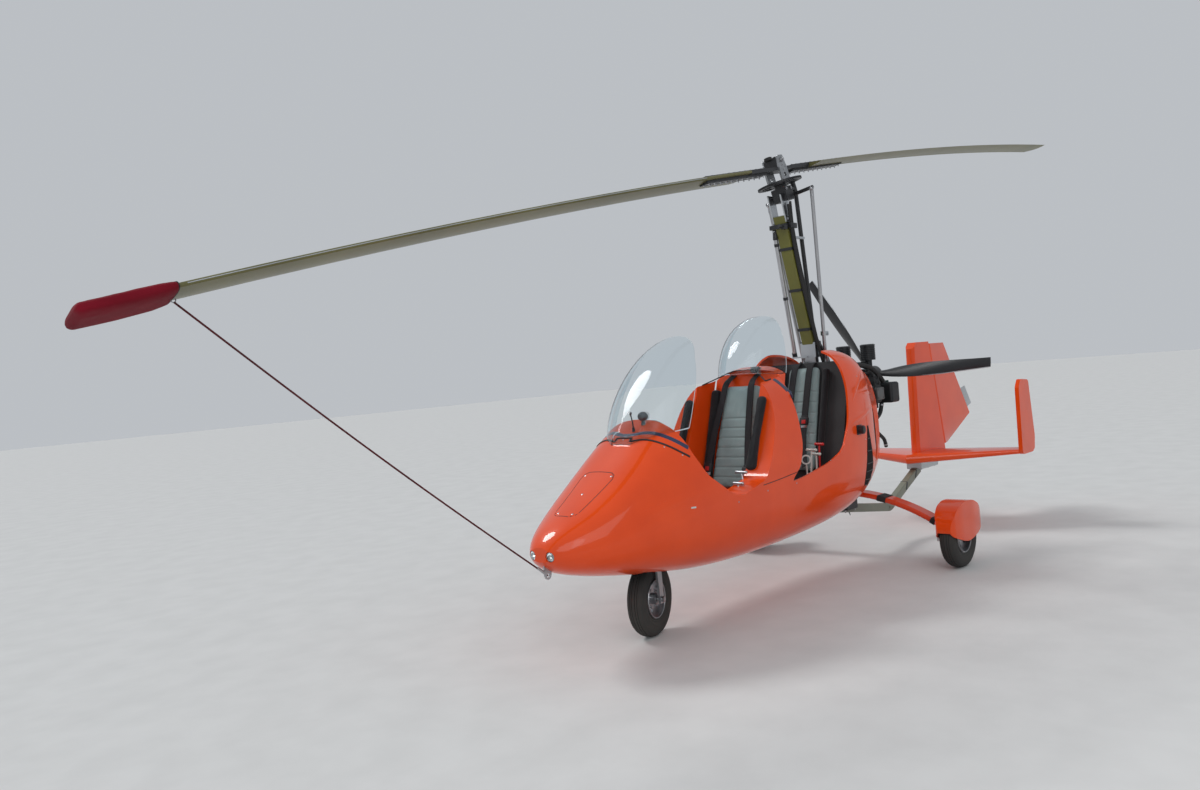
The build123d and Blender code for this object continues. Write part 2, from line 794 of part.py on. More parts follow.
fork += Pos(*nose_hub) * axle(fork_half_width + 2 * fork_thickness - 2)
save("nose_fork", nose_spin * fork)

# Keel tube
keel_path = FilletPolyline(*[(x, 0, z) for x, z in keel_points], radius=keel_bend)
keel = sweep(Plane(origin=keel_path @ 0, x_dir=(0, 1, 0), z_dir=keel_path % 0) *
             RectangleRounded(keel_width, keel_height, keel_corner), keel_path)
keel -= Pos(tail_eye[0], 0, tail_eye[1]) * Rot(90, 0, 0) * Cylinder(tail_eye_bore, 2 * keel_width)
save("keel_tube", keel)
bow_room = block((main_station - bow_chord / 2 - seat_gap, -2 * clamp_half_width,
                  bow_middle - bow_thickness / 2 - seat_gap - 2),
                 (main_station + bow_chord / 2 + seat_gap, 2 * clamp_half_width,
                  bow_middle + bow_thickness / 2 + seat_gap))
clamp = block((main_station - bow_chord / 2 - clamp_margin, -clamp_half_width, clamp_foot),
              (main_station + bow_chord / 2 + clamp_margin, clamp_half_width, clamp_head))
save("gear_clamp", clamp - bow_room - keel - outer)


# Tail
def foil(front, rear, thickness, middle):
    """Face of a rounded wing section, station and height."""
    half = thickness / 2
    chord = front - rear
    nose = ThreePointArc((front - chord * 0.08, middle - half * 0.7), (front, middle),
                         (front - chord * 0.08, middle + half * 0.7))
    top = ThreePointArc((front - chord * 0.08, middle + half * 0.7), (front - chord * 0.4, middle + half),
                        (rear, middle + 3))
    back = Line((rear, middle + 3), (rear, middle - 3))
    under = ThreePointArc((rear, middle - 3), (front - chord * 0.4, middle - half),
                          (front - chord * 0.08, middle - half * 0.7))
    return make_face([nose, top, back, under])


def lengthwise(y):
    return Plane(origin=(0, y, 0), x_dir=(1, 0, 0), z_dir=(0, -1, 0))


stab_half = loft([lengthwise(0) * foil(*stab_root), lengthwise(stab_half_span) * foil(*stab_tip)])
stab = stab_half + mirror(stab_half, Plane.XZ)
save("tailplane", stab)
for name, side in (("left", 1), ("right", -1)):
    front, rear = stab_tip[0], stab_tip[1]
    shape = from_left([(front, outer_fin_foot), (front - 10, outer_fin_height - 60),
                       (front - 60, outer_fin_height),
                       (rear + 60, outer_fin_height - 12), (rear, 670), (rear + 20, 575),
                       (rear + 60, outer_fin_foot)], outer_fin_thickness / 2, 0.35,
                      side * (stab_half_span + outer_fin_thickness / 2))
    save(f"outer_fin_{name}", shape)

fin = from_left([(fin_front_foot, fin_root), (fin_front_head, fin_head - 50), (fin_front_head - 60, fin_head),
                 (hinge_head + rudder_nose + hinge_clearance, fin_head),
                 (hinge_foot + rudder_nose + hinge_clearance, fin_root)], fin_half_thickness)
fin_nose = fin.edges().filter_by(lambda edge: abs(edge.center().Y) > 30 and
                                 edge.center().X > fin_front_head - 2)
fin = fillet(fin_nose, fin_half_thickness * 0.8) - stab
hinge_slope = (hinge_head - hinge_foot) / (fin_head - fin_foot)


def on_hinge(height):
    """Point of the rudder hinge line at a height."""
    return (hinge_foot + hinge_slope * (height - fin_foot), 0, height)


# Hinge lugs at the foot and head of the fin, each with its pin
for lug_low, lug_high, pin_end in ((fin_foot - 2, rudder_rows[0][0] - lug_gap, rudder_rows[0][0] + pin_reach),
                                   (rudder_rows[-1][0] + lug_gap, fin_head, rudder_rows[-1][0] - pin_reach)):
    lug_x = on_hinge((lug_low + lug_high) / 2)[0]
    fin += block((lug_x - lug_radius, -lug_radius, lug_low),
                 (lug_x + rudder_nose + hinge_clearance + 20, lug_radius, lug_high))
    fin += rod(on_hinge((lug_low + lug_high) / 2), on_hinge(pin_end), hinge_pin_radius)
save("fin", fin)


def rudder_face(height, rear):
    """Level section of the rudder with its round nose about the hinge."""
    front = hinge_foot + hinge_slope * (height - fin_foot)
    half = rudder_tail_thickness / 2
    nose = ThreePointArc((front, -rudder_nose), (front + rudder_nose, 0), (front, rudder_nose))
    outline = [nose, Line((front, rudder_nose), (rear, half)), Line((rear, half), (rear, -half)),
               Line((rear, -half), (front, -rudder_nose))]
    return Plane(origin=(0, 0, height)) * make_face(outline)


rudder = (loft([rudder_face(*row) for row in rudder_rows[:2]]) +
          loft([rudder_face(*row) for row in rudder_rows[1:]]))
rudder -= rod(on_hinge(fin_foot), on_hinge(rudder_rows[0][0] + pin_reach + running_gap),
              hinge_pin_radius + running_gap)
rudder -= rod(on_hinge(fin_head), on_hinge(rudder_rows[-1][0] - pin_reach - running_gap),
              hinge_pin_radius + running_gap)
save("rudder", rudder)
save("trim_tab", from_left(tab_corners, tab_thickness / 2) - rudder)
tail_pad_block = block((tail_pad_rear, -tail_pad_half, tail_pad_foot),
                       (tail_pad_rear + tail_pad_length, tail_pad_half, tail_pad_head)) - stab - keel
save("tail_bracket", tail_pad_block.solids().sort_by(SortBy.VOLUME)[-1])

# Engine: crankcase, four cylinders and the reduction gearbox
engine = block((engine_rear, -case_half_width, case_foot), (engine_front, case_half_width, case_top))
for station in cylinder_stations:
    engine += rod((station, -cylinder_reach, cylinder_height), (station, cylinder_reach, cylinder_height),
                  cylinder_radius)
engine += rod((engine_rear + 10, 0, prop_height - gearbox_drop),
              (gearbox_rear, 0, prop_height - gearbox_drop), gearbox_radius)
engine += rod((engine_rear, 0, prop_height), (prop_plane + prop_hub_length / 2 + running_gap, 0, prop_height),
              shaft_radius)
for side in (1, -1):
    filter_place = (intake_station, side * intake_spacing / 2)
    engine += rod((*filter_place, case_top - 5), (*filter_place, intake_top - intake_body), intake_radius / 2)
    engine += rod((*filter_place, intake_top - intake_body - 20), (*filter_place, intake_top), intake_radius)
engine += block((engine_rear + 20, -intake_spacing / 2, intake_top + plenum[0]),
                (intake_station + 40, intake_spacing / 2, intake_top + plenum[1]))
engine += fillet(block(*reservoir).edges(), reservoir_corner)
save("engine", engine)
mount = [rod((firewall_station - firewall_thickness - seat_gap, y, height),
             (engine_front + seat_gap, y, height), mount_rod_radius) for y, height in mount_rod_places]
save("engine_mount", Compound(children=mount))

# Propeller
hub_low = prop_plane - prop_hub_length / 2
hub_high = prop_plane + prop_hub_length / 2
prop_hub = rod((hub_low, 0, prop_height), (hub_high, 0, prop_height), prop_hub_radius)


def prop_blade():
    """Twisted blade standing up from the hub centre."""
    faces = []
    for share, chord, thickness, twist in prop_rows:
        half = chord / 2
        lens = make_face([ThreePointArc((-half, 0), (0, thickness / 2), (half, 0)),
                          ThreePointArc((half, 0), (0, -thickness / 2), (-half, 0))])
        faces.append(Plane(origin=(0, 0, share * prop_radius)) * Rot(0, 0, 90 - twist) * lens)
    return loft(faces)


blade_up = prop_blade()
blades = [Pos(prop_plane, 0, prop_height) * Rot(prop_turn - 90 + 120 * i, 0, 0) * blade_up - prop_hub
          for i in range(3)]
save("prop_blades", Compound(children=[part.solid() for part in blades]))
save("prop_hub", prop_hub)


# Mast
def beam(start, end):
    run = Vector(end[0] - start[0], 0, end[1] - start[1])
    plane = Plane(origin=(start[0], 0, start[1]), x_dir=(0, 1, 0), z_dir=run)
    return extrude(plane * RectangleRounded(mast_width, mast_depth, mast_corner), run.length)


mast = beam(mast_foot, mast_knee) + beam(mast_knee, mast_head)
mast += block((step_box[0], -step_box[2], floor_top + seat_gap), (step_box[1], step_box[2], step_top)) & core
mast += block((mast_knee[0] - knee_half[0], -knee_half[1], mast_knee[1] - knee_half[2]),
              (mast_knee[0] + knee_half[0], knee_half[1], mast_knee[1] + knee_half[2]))
mast += block((lug_box[0], -lug_box[2], lug_top - 10), (lug_box[1], 0, lug_top))
mast += block((*collar_box[0], collar_foot), (*collar_box[1], collar_foot + collar_height))

# Rotor frame: X along the front blade, Y to its left, Z up the leaning spindle
spindle = Vector(sin(radians(disc_tilt)), sin(radians(disc_roll)), cos(radians(disc_tilt))).normalized()


def in_disc(direction):
    """A direction laid flat in the rotor disc."""
    return (direction - spindle * direction.dot(spindle)).normalized()


turn = radians(blade_turn)
hub_point = (0, 0, hub_height)
rotor_frame = Location(Plane(origin=hub_point, x_dir=in_disc(Vector(cos(turn), sin(turn), 0)), z_dir=spindle))
level_frame = Location(Plane(origin=hub_point, x_dir=in_disc(Vector(1, 0, 0)), z_dir=spindle))

# Rotor head: gimbal, bearing housing and the cross arm for the two push rods
housing_top = ring_height - ring_thickness / 2 - running_gap
arm_height = housing_top - arm_drop
yoke_inside = mast_width / 2 + seat_gap
head = level_frame * block((-gimbal_half, -yoke_inside - yoke_thickness, housing_top - 110),
                           (gimbal_half, yoke_inside + yoke_thickness, housing_top - 20))
for side in (1, -1):
    head += from_left(yoke_outline, yoke_thickness / 2, 0.2, side * (yoke_inside + yoke_thickness / 2))
bolt_end = yoke_inside + yoke_thickness + yoke_bolt_radius
head += rod((yoke_bolt[0], -bolt_end, yoke_bolt[1]), (yoke_bolt[0], bolt_end, yoke_bolt[1]), yoke_bolt_radius)
head += level_frame * rod((0, 0, housing_top - 30), (0, 0, housing_top), bearing_radius)
head += level_frame * block((arm_station - 15, -18, arm_height - 15), (0, 18, arm_height + 15))
head += level_frame * rod((arm_station, -arm_half, arm_height), (arm_station, arm_half, arm_height),
                          arm_radius)
pinion_station = -ring_radius - pinion_radius - ring_clearance
head += level_frame * rod((pinion_station, 0, ring_height - 66), (pinion_station, 0, ring_height + 4),
                          pinion_radius)
head += level_frame * block((pinion_station, -10, ring_height - 52), (-30, 10, ring_height - 32))
mast -= rod((yoke_bolt[0], -bolt_end, yoke_bolt[1]), (yoke_bolt[0], bolt_end, yoke_bolt[1]),
            yoke_bolt_radius + running_gap)
save("mast", mast)
save("rotor_head", head.solids().sort_by(SortBy.VOLUME)[-1])

# Rotor tower and hub bar
ring_face = Circle(ring_radius - tooth_depth) + PolarLocations(ring_radius - tooth_depth, tooth_count) * \
    Rectangle(2 * tooth_depth, tooth_width)
ring_face -= Circle(ring_radius - ring_band)
ring_face += Circle(cheek_width / 2 + cheek_thickness + 10)
for i in range(spoke_count):
    spoke = Pos(ring_radius / 2, 0) * Rectangle(ring_radius - ring_band / 2, spoke_width)
    ring_face += Rot(0, 0, 360 / spoke_count * i) * spoke
tower = extrude(Pos(0, 0, ring_height) * ring_face, ring_thickness / 2, both=True)
for side in (1, -1):
    mid = side * (cheek_spacing + cheek_thickness) / 2
    cheek = from_left([(-cheek_width / 2, ring_height), (cheek_width / 2, ring_height), (cheek_width / 2, 0),
                       (cheek_width / 3, cheek_top), (-cheek_width / 3, cheek_top), (-cheek_width / 2, 0)],
                      cheek_thickness / 2, 0.25, mid)
    cheek -= Pos(0, mid, cheek_hole_height) * Rot(90, 0, 0) * Cylinder(cheek_hole_radius, 2 * cheek_thickness)
    tower += cheek + Pos(0, mid, ring_height) * Box(cheek_width, cheek_thickness, ring_thickness)


def blade(droop):
    """Rotor blade: one arc from the root to the sagging tip, nose to the left and pitched up."""
    nose = ThreePointArc((40, -8), (blade_nose, 0), (40, 8))
    top = ThreePointArc((40, 8), (-10, blade_thickness / 2), (blade_nose - blade_chord, 1))
    back = Line((blade_nose - blade_chord, 1), (blade_nose - blade_chord, -1))
    under = ThreePointArc((blade_nose - blade_chord, -1), (-10, -blade_thickness / 2), (40, -8))
    upright = Plane(origin=(blade_root, 0, 0), x_dir=(0, 1, 0), z_dir=(1, 0, 0))
    section = upright * Rot(0, 0, blade_pitch) * make_face([nose, top, back, under])
    run = rotor_radius - blade_root
    arc_radius = run ** 2 / (2 * droop)
    return revolve(section, Axis((blade_root, 0, -arc_radius), (0, 1, 0)), degrees(run / arc_radius))


front_blade = blade(front_droop)
rear_blade = Rot(0, 0, 180) * blade(rear_droop)
save("rotor_blade_front", rotor_frame * front_blade)
save("rotor_blade_rear", rotor_frame * rear_blade)
bar = block((-blade_root + seat_gap, -hub_bar_width / 2, -hub_bar_thickness / 2),
            (blade_root - seat_gap, hub_bar_width / 2, hub_bar_thickness / 2))
clamp_high = hub_bar_thickness / 2 + clamp_cap
for side in (1, -1):
    low, high = sorted((side * clamp_start, side * hub_bar_half))
    bar += block((low, -clamp_half, -clamp_high - clamp_bolt_depth), (high, clamp_half, clamp_high))
bar += block((-teeter_block[0], -hub_bar_width / 2, 0),
             (teeter_block[0], hub_bar_width / 2, teeter_height + teeter_block[1]))
teeter_end = cheek_spacing / 2 + cheek_thickness + bolt_head
teeter_bolt = rod((0, -teeter_end, teeter_height), (0, teeter_end, teeter_height), teeter_radius)
bar -= rod((0, -teeter_end, teeter_height), (0, teeter_end, teeter_height), teeter_radius + seat_gap)
save("hub_bar", rotor_frame * (bar - front_blade - rear_blade))
save("rotor_tower", rotor_frame * (tower + teeter_bolt))

# Cloth cover over the front blade tip
tip_slope = degrees(2 * front_droop / (rotor_radius - blade_root))
tip_place = Pos(rotor_radius, 0, -front_droop) * Rot(0, tip_slope, 0) * Rot(blade_pitch, 0, 0)
mid_chord = blade_nose - blade_chord / 2
cover = block((-cover_length, mid_chord - cover_width / 2, -cover_thickness / 2),
              (cover_past_tip, mid_chord + cover_width / 2, cover_thickness / 2))
cover_slot = blade_thickness / 2 + cover_gap
cover -= block((-cover_length - 10, blade_nose - blade_chord - cover_gap, -cover_slot),
               (cover_gap, blade_nose + cover_gap, cover_slot))
save("tip_cover", rotor_frame * (tip_place * cover))

# Push rods from the head down behind the rear seat to the mast step
rods = []
for side in (1, -1):
    top = (level_frame * Pos(arm_station, side * (arm_half - 15), arm_height - arm_radius - 6)).position
    guide = (rod_guide[0], side * rod_guide[1])
    rods.append(tube_along([tuple(top), (*guide, rod_guide[2]), (*guide, step_top + seat_gap)],
                           rod_bend, rod_radius).solid())
save("push_rods", Compound(children=rods))

# Flexible drive from the engine up to the ring gear, and the trim cylinder on the mast
drive_top = (level_frame * Pos(pinion_station, 0, ring_height - 66 - 6)).position
bends = [(x, 0, z) for x, z in drive_bends]
drive = tube_along([tuple(drive_top), *bends, (drive_bends[1][0], 0, case_top + seat_gap)],
                   drive_bend_radius, drive_radius)
save("prerotator_shaft", drive)
trim = rod((*trim_head, collar_foot - 3), (*trim_foot, lug_top + 3), trim_radius)
save("trim_cylinder", trim)

# Exhaust: two stubs into a silencer under the engine
station, height = silencer_place
silencer = rod((station, -silencer_half, height), (station, silencer_half, height), silencer_radius)
for side in (1, -1):
    stub = (stub_place[0], side * stub_place[1])
    silencer += rod((*stub, height), (*stub, cylinder_height - cylinder_radius - seat_gap), stub_radius)
save("exhaust", silencer - engine)

# Fuel filler on the left side
cap = rod((cap_station, 0, cap_height), (cap_station, cap_outside, cap_height), cap_radius)
save("fuel_cap", (cap - outer).solids().sort_by(Axis.Y)[-1])
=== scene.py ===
import math

import bmesh
import bpy
from mathutils import Matrix, Vector, noise
from mathutils.bvhtree import BVHTree


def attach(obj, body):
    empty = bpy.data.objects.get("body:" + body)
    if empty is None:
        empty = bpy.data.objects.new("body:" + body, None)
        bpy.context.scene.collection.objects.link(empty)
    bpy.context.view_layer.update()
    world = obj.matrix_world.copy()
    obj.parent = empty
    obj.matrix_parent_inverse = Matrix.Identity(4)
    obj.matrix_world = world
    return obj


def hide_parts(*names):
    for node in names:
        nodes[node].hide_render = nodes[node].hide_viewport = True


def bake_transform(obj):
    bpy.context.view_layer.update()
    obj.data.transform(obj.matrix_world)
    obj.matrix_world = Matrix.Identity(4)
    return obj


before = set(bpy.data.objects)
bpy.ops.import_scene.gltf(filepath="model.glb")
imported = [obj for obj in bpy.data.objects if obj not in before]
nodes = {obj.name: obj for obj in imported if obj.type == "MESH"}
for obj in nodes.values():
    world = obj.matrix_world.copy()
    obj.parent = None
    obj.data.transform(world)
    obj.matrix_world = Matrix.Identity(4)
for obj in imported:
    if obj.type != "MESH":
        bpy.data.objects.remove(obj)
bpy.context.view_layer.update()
print("frame loaded:", len(nodes), "nodes")

# slot is the record's material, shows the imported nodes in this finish, color and dark the two ends of a
# cloudy tint, and bump the strength of the fine grain
finishes = {
    "hullPaint": dict(slot="hull_paint", color=(0.80, 0.072, 0.006), dark=(0.73, 0.061, 0.005), rough=0.3,
                      coat=0.65, spec=0.1, bump=0.01,
                      shows=["hull_shell", "nose_hatch", "engine_cowl_left", "engine_cowl_right", "spat_left",
                             "spat_right", "fin", "rudder", "tailplane", "outer_fin_left", "outer_fin_right",
                             "front_seat_shell"]),
    "gearPaint": dict(slot="gear_paint", color=(0.66, 0.05, 0.008), dark=(0.55, 0.042, 0.007), rough=0.35,
                      coat=0.5, spec=0.1, bump=0.02, shows=["gear_bow"]),
    "blackMetal": dict(slot="dark_metal", color=(0.022, 0.023, 0.026), dark=(0.012, 0.012, 0.014), rough=0.42,
                       bump=0.12, shows=["engine_mount", "prop_hub", "gear_clamp", "rotor_head", "hub_bar",
                                         "prerotator_shaft"]),
    "cabinPlastic": dict(slot="cabin_plastic", color=(0.03, 0.031, 0.033), dark=(0.018, 0.018, 0.02),
                         rough=0.62, bump=0.3, shows=["rear_seat_shell", "cabin_floor", "wheel_well"]),
    "panelPlastic": dict(slot="panel_plastic", color=(0.014, 0.014, 0.016), dark=(0.009, 0.009, 0.01),
                         rough=0.5, bump=0.3, shows=["instrument_panel"]),
    "blackPlastic": dict(slot="black_plastic", color=(0.016, 0.017, 0.02), dark=(0.01, 0.01, 0.012),
                         rough=0.34, bump=0.08, shows=["control_sticks", "fuel_cap", "prop_blades"]),
    "rubber": dict(slot="black_plastic", color=(0.021, 0.02, 0.02), dark=(0.012, 0.012, 0.012), rough=0.75,
                   bump=0.3),
    "tyreRubber": dict(slot="tyre_rubber", color=(0.026, 0.025, 0.024), dark=(0.045, 0.042, 0.037),
                       rough=0.82, bump=0.4, shows=["main_tyre_left", "main_tyre_right", "nose_tyre"]),
    "wheelAlloy": dict(slot="wheel_alloy", color=(0.52, 0.53, 0.55), dark=(0.42, 0.43, 0.45), rough=0.34,
                       metal=1.0, bump=0.1, shows=["main_rim_left", "main_rim_right", "nose_rim"]),
    "bareAlloy": dict(slot="bare_alloy", color=(0.56, 0.58, 0.6), dark=(0.44, 0.46, 0.48), rough=0.36,
                      metal=1.0, brushed=(40, 900, 900),
                      shows=["levers", "pedals", "firewall", "tail_bracket", "trim_tab", "nose_fork"]),
    "steel": dict(slot="steel", color=(0.5, 0.5, 0.51), dark=(0.38, 0.38, 0.4), rough=0.3, metal=1.0,
                  brushed=(900, 900, 40),
                  shows=["main_axle_left", "main_axle_right", "nose_eye", "exhaust", "push_rods",
                         "trim_cylinder"]),
    "towerAlloy": dict(slot="tower_alloy", color=(0.36, 0.37, 0.38), dark=(0.28, 0.29, 0.3), rough=0.42,
                       metal=0.9, brushed=(900, 900, 60), shows=["rotor_tower"]),
    "tubePaint": dict(slot="tube_paint", color=(0.19, 0.2, 0.15), dark=(0.14, 0.145, 0.11), rough=0.4,
                      coat=0.2, bump=0.08, shows=["keel_tube"]),
    # painted reflection: the mast's grey metal is given the olive tint that the green grass reflects onto it
    "mastPaint": dict(slot="mast_paint", color=(0.165, 0.16, 0.03), dark=(0.125, 0.122, 0.024), rough=0.38,
                      coat=0.3, spec=0.3, bump=0.08, shows=["mast"]),
    # painted reflection and painted shade: the blades' silver aluminium is given the olive tint the green
    # grass reflects onto them, darkened to their shaded underside
    "bladePaint": dict(slot="blade_paint", color=(0.15, 0.14, 0.05), dark=(0.115, 0.108, 0.04), rough=0.42,
                       coat=0.2, spec=0.3, bump=0.05, shows=["rotor_blade_front", "rotor_blade_rear"]),
    "engineMetal": dict(slot="engine_metal", color=(0.035, 0.037, 0.04), dark=(0.018, 0.019, 0.021),
                        rough=0.48, metal=0.6, bump=0.3, shows=["engine"]),
    "castMetal": dict(slot="engine_metal", color=(0.2, 0.2, 0.2), dark=(0.12, 0.12, 0.12), rough=0.5,
                      metal=0.85, bump=0.35),
    "navyStripe": dict(slot="panel_plastic", color=(0.012, 0.02, 0.07), dark=(0.009, 0.014, 0.05), rough=0.3,
                       coat=0.6, bump=0.02),
    "redPlastic": dict(slot="grip_plastic", color=(0.55, 0.012, 0.012), dark=(0.42, 0.01, 0.01), rough=0.4,
                       bump=0.08),
    "whitePlastic": dict(slot="grip_plastic", color=(0.62, 0.62, 0.58), dark=(0.52, 0.52, 0.49), rough=0.45,
                         bump=0.08),
    "greenBox": dict(slot="engine_metal", color=(0.008, 0.03, 0.026), dark=(0.005, 0.018, 0.016), rough=0.4,
                     bump=0.12),
    "webbing": dict(slot="seat_fabric", color=(0.02, 0.02, 0.023), dark=(0.012, 0.012, 0.014), rough=0.85,
                    weave=240),
    "sageCloth": dict(slot="seat_fabric", color=(0.26, 0.34, 0.34), dark=(0.21, 0.28, 0.28), rough=0.85,
                      weave=160, sheen=0.3, shows=["front_cushions", "rear_cushions"]),
    "blackCloth": dict(slot="seat_fabric", color=(0.018, 0.018, 0.02), dark=(0.011, 0.011, 0.013), rough=0.9,
                       weave=160, sheen=0.12, spec=0.25),
    "lampMirror": dict(slot="lamp", color=(0.86, 0.87, 0.88), dark=(0.78, 0.79, 0.8), rough=0.14, metal=1.0,
                       bump=0.02),
    "redCloth": dict(slot="cover_fabric", color=(0.22, 0.006, 0.018), dark=(0.14, 0.004, 0.011), rough=0.9,
                     weave=120, sheen=0.05, spec=0.15, shows=["tip_cover"]),
    "redCord": dict(slot="cover_fabric", color=(0.1, 0.006, 0.01), dark=(0.06, 0.003, 0.006), rough=0.85,
                    weave=200),
}
glasses = {
    "screenGlass": dict(slot="screen", color=(0.86, 0.93, 0.96), rough=0.015,
                        shows=["front_windscreen", "rear_windscreen"]),
    "lampGlass": dict(slot="lamp", color=(0.95, 0.97, 0.97), rough=0.03, shows=["nose_lights"]),
}


def addNode(tree, kind, place, inputs=None, **settings):
    node = tree.nodes.new(kind)
    node.location = place
    for name, value in settings.items():
        setattr(node, name, value)
    for name, value in (inputs or {}).items():
        node.inputs[name].default_value = value
    return node


def startMaterial(name, sockets):
    material = bpy.data.materials.new(name)
    material.use_nodes = True
    tree = material.node_tree
    shader = tree.nodes["Principled BSDF"]
    for socket, value in sockets.items():
        shader.inputs[socket].default_value = value
    return material, tree, shader


def makeMaterial(name, look):
    material, tree, shader = startMaterial(name, {
        "Metallic": look.get("metal", 0.0), "Coat Weight": look.get("coat", 0.0),
        "Sheen Weight": look.get("sheen", 0.0), "Specular IOR Level": look.get("spec", 0.5)})
    material.diffuse_color = (*look["color"], 1.0)
    link = tree.links.new
    place = addNode(tree, "ShaderNodeTexCoord", (-1200, 0)).outputs["Object"]
    cloud = addNode(tree, "ShaderNodeTexNoise", (-900, 250), {"Scale": 4.0, "Detail": 4.0})
    spread = addNode(tree, "ShaderNodeMapRange", (-650, 250), {"From Min": 0.3, "From Max": 0.65})
    tint = addNode(tree, "ShaderNodeMix", (-400, 250), data_type="RGBA")
    tint.inputs[6].default_value = (*look["dark"], 1.0)
    tint.inputs[7].default_value = (*look["color"], 1.0)
    fine = addNode(tree, "ShaderNodeTexNoise", (-900, -50), {"Scale": 260.0, "Detail": 3.0})
    dull = addNode(tree, "ShaderNodeMapRange", (-400, -50),
                   {"To Min": look["rough"] * 0.85, "To Max": min(1.0, look["rough"] * 1.15)})
    bump = addNode(tree, "ShaderNodeBump", (-200, -300), {"Distance": 0.001,
                                                          "Strength": look.get("bump", 0.2)})
    link(place, cloud.inputs["Vector"])
    link(place, fine.inputs["Vector"])
    link(cloud.outputs["Fac"], spread.inputs["Value"])
    link(spread.outputs["Result"], tint.inputs["Factor"])
    link(tint.outputs[2], shader.inputs["Base Color"])
    link(fine.outputs["Fac"], dull.inputs["Value"])
    link(dull.outputs["Result"], shader.inputs["Roughness"])
    height = fine.outputs["Fac"]
    if "weave" in look:
        both = addNode(tree, "ShaderNodeMath", (-600, -450), operation="ADD")
        for socket, (direction, row) in enumerate((("Y", -350), ("Z", -650))):
            wave = addNode(tree, "ShaderNodeTexWave", (-900, row), {"Scale": look["weave"]},
                           bands_direction=direction)
            link(place, wave.inputs["Vector"])
            link(wave.outputs["Fac"], both.inputs[socket])
        height = both.outputs["Value"]
        bump.inputs["Strength"].default_value = 0.3
    elif "brushed" in look:
        stretch = addNode(tree, "ShaderNodeMapping", (-1000, -400), {"Scale": look["brushed"]})
        lines = addNode(tree, "ShaderNodeTexNoise", (-700, -400), {"Scale": 1.0, "Detail": 2.0})
        link(place, stretch.inputs["Vector"])
        link(stretch.outputs["Vector"], lines.inputs["Vector"])
        height = lines.outputs["Fac"]
        bump.inputs["Strength"].default_value = 0.1
    link(height, bump.inputs["Height"])
    link(bump.outputs["Normal"], shader.inputs["Normal"])
    return material


def makeGlass(name, look):
    material, tree, shader = startMaterial(name, {"Transmission Weight": 1.0, "IOR": 1.2,
                                                  "Base Color": (*look["color"], 1.0)})
    place = addNode(tree, "ShaderNodeTexCoord", (-900, 0))
    smear = addNode(tree, "ShaderNodeTexNoise", (-650, 0), {"Scale": 6.0, "Detail": 5.0})
    dull = addNode(tree, "ShaderNodeMapRange", (-400, 0),
                   {"From Min": 0.4, "To Min": look["rough"], "To Max": look["rough"] * 3})
    tree.links.new(place.outputs["Object"], smear.inputs["Vector"])
    tree.links.new(smear.outputs["Fac"], dull.inputs["Value"])
    tree.links.new(dull.outputs["Result"], shader.inputs["Roughness"])
    return material


sharpAngle = math.radians(32)
materials, slots = {}, {}
for looks, make in ((finishes, makeMaterial), (glasses, makeGlass)):
    for finish, look in looks.items():
        materials[finish] = make(finish, look)
        slots[finish] = look["slot"]
        for name in look.get("shows", ()):
            mesh = nodes[name].data
            mesh.materials.clear()
            mesh.materials.append(materials[finish])
            mesh.set_sharp_from_angle(angle=sharpAngle)
print("finishes ready:", len(materials))


def addPiece(bm, name, finish, body="airframe", crease=34):
    bmesh.ops.recalc_face_normals(bm, faces=bm.faces)
    mesh = bpy.data.meshes.new(name)
    bm.to_mesh(mesh)
    bm.free()
    mesh.materials.append(materials[finish])
    mesh.shade_smooth()
    mesh.set_sharp_from_angle(angle=math.radians(crease))
    piece = bpy.data.objects.new(name, mesh)
    bpy.context.scene.collection.objects.link(piece)
    if body:
        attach(piece, body)
    return piece


def rod(bm, start, end, radius, endRadius=None, sides=20):
    start, end = Vector(start), Vector(end)
    run = end - start
    turn = run.to_track_quat("Z", "Y").to_matrix().to_4x4()
    bmesh.ops.create_cone(bm, cap_ends=True, segments=sides, radius1=radius,
                          radius2=radius if endRadius is None else endRadius, depth=run.length,
                          matrix=Matrix.Translation((start + end) / 2) @ turn)


def box(bm, middle, size, bevel=0.002, turn=None):
    place = Matrix.Translation(middle) @ (turn or Matrix.Identity(4)) @ Matrix.Diagonal((*size, 1))
    made = bmesh.ops.create_cube(bm, size=1, matrix=place)
    edges = list({edge for vert in made["verts"] for edge in vert.link_edges})
    bmesh.ops.bevel(bm, geom=edges, offset=bevel, segments=2, affect="EDGES", profile=0.6, material=-1)


def ball(bm, middle, radius, squashed=(1, 1, 1)):
    place = Matrix.Translation(middle) @ Matrix.Diagonal((*squashed, 1))
    bmesh.ops.create_uvsphere(bm, u_segments=18, v_segments=12, radius=radius, matrix=place)


def smoothPath(points, steps=8):
    points = [Vector(point) for point in points]
    ends = [2 * points[0] - points[1], *points, 2 * points[-1] - points[-2]]
    path = []
    for i in range(1, len(ends) - 2):
        a, b, c, d = ends[i - 1:i + 3]
        for k in range(steps):
            t = k / steps
            path.append(0.5 * (2 * b + (c - a) * t + (2 * a - 5 * b + 4 * c - d) * t ** 2 +
                               (3 * b - 3 * c + d - a) * t ** 3))
    return path + [points[-1]]


def joinRings(bm, rings, closed=False):
    pairs = list(zip(rings, rings[1:])) + ([(rings[-1], rings[0])] if closed else [])
    for near, far in pairs:
        count = max(len(near), len(far))
        for k in range(count):
            after = (k + 1) % count
            corners = [near[k % len(near)], near[after % len(near)], far[after % len(far)], far[k % len(far)]]
            corners = list(dict.fromkeys(corners))
            if len(corners) > 2:
                bm.faces.new(corners)
    if not closed:
        for ring in (rings[0], rings[-1]):
            if len(ring) > 2:
                bm.faces.new(ring)


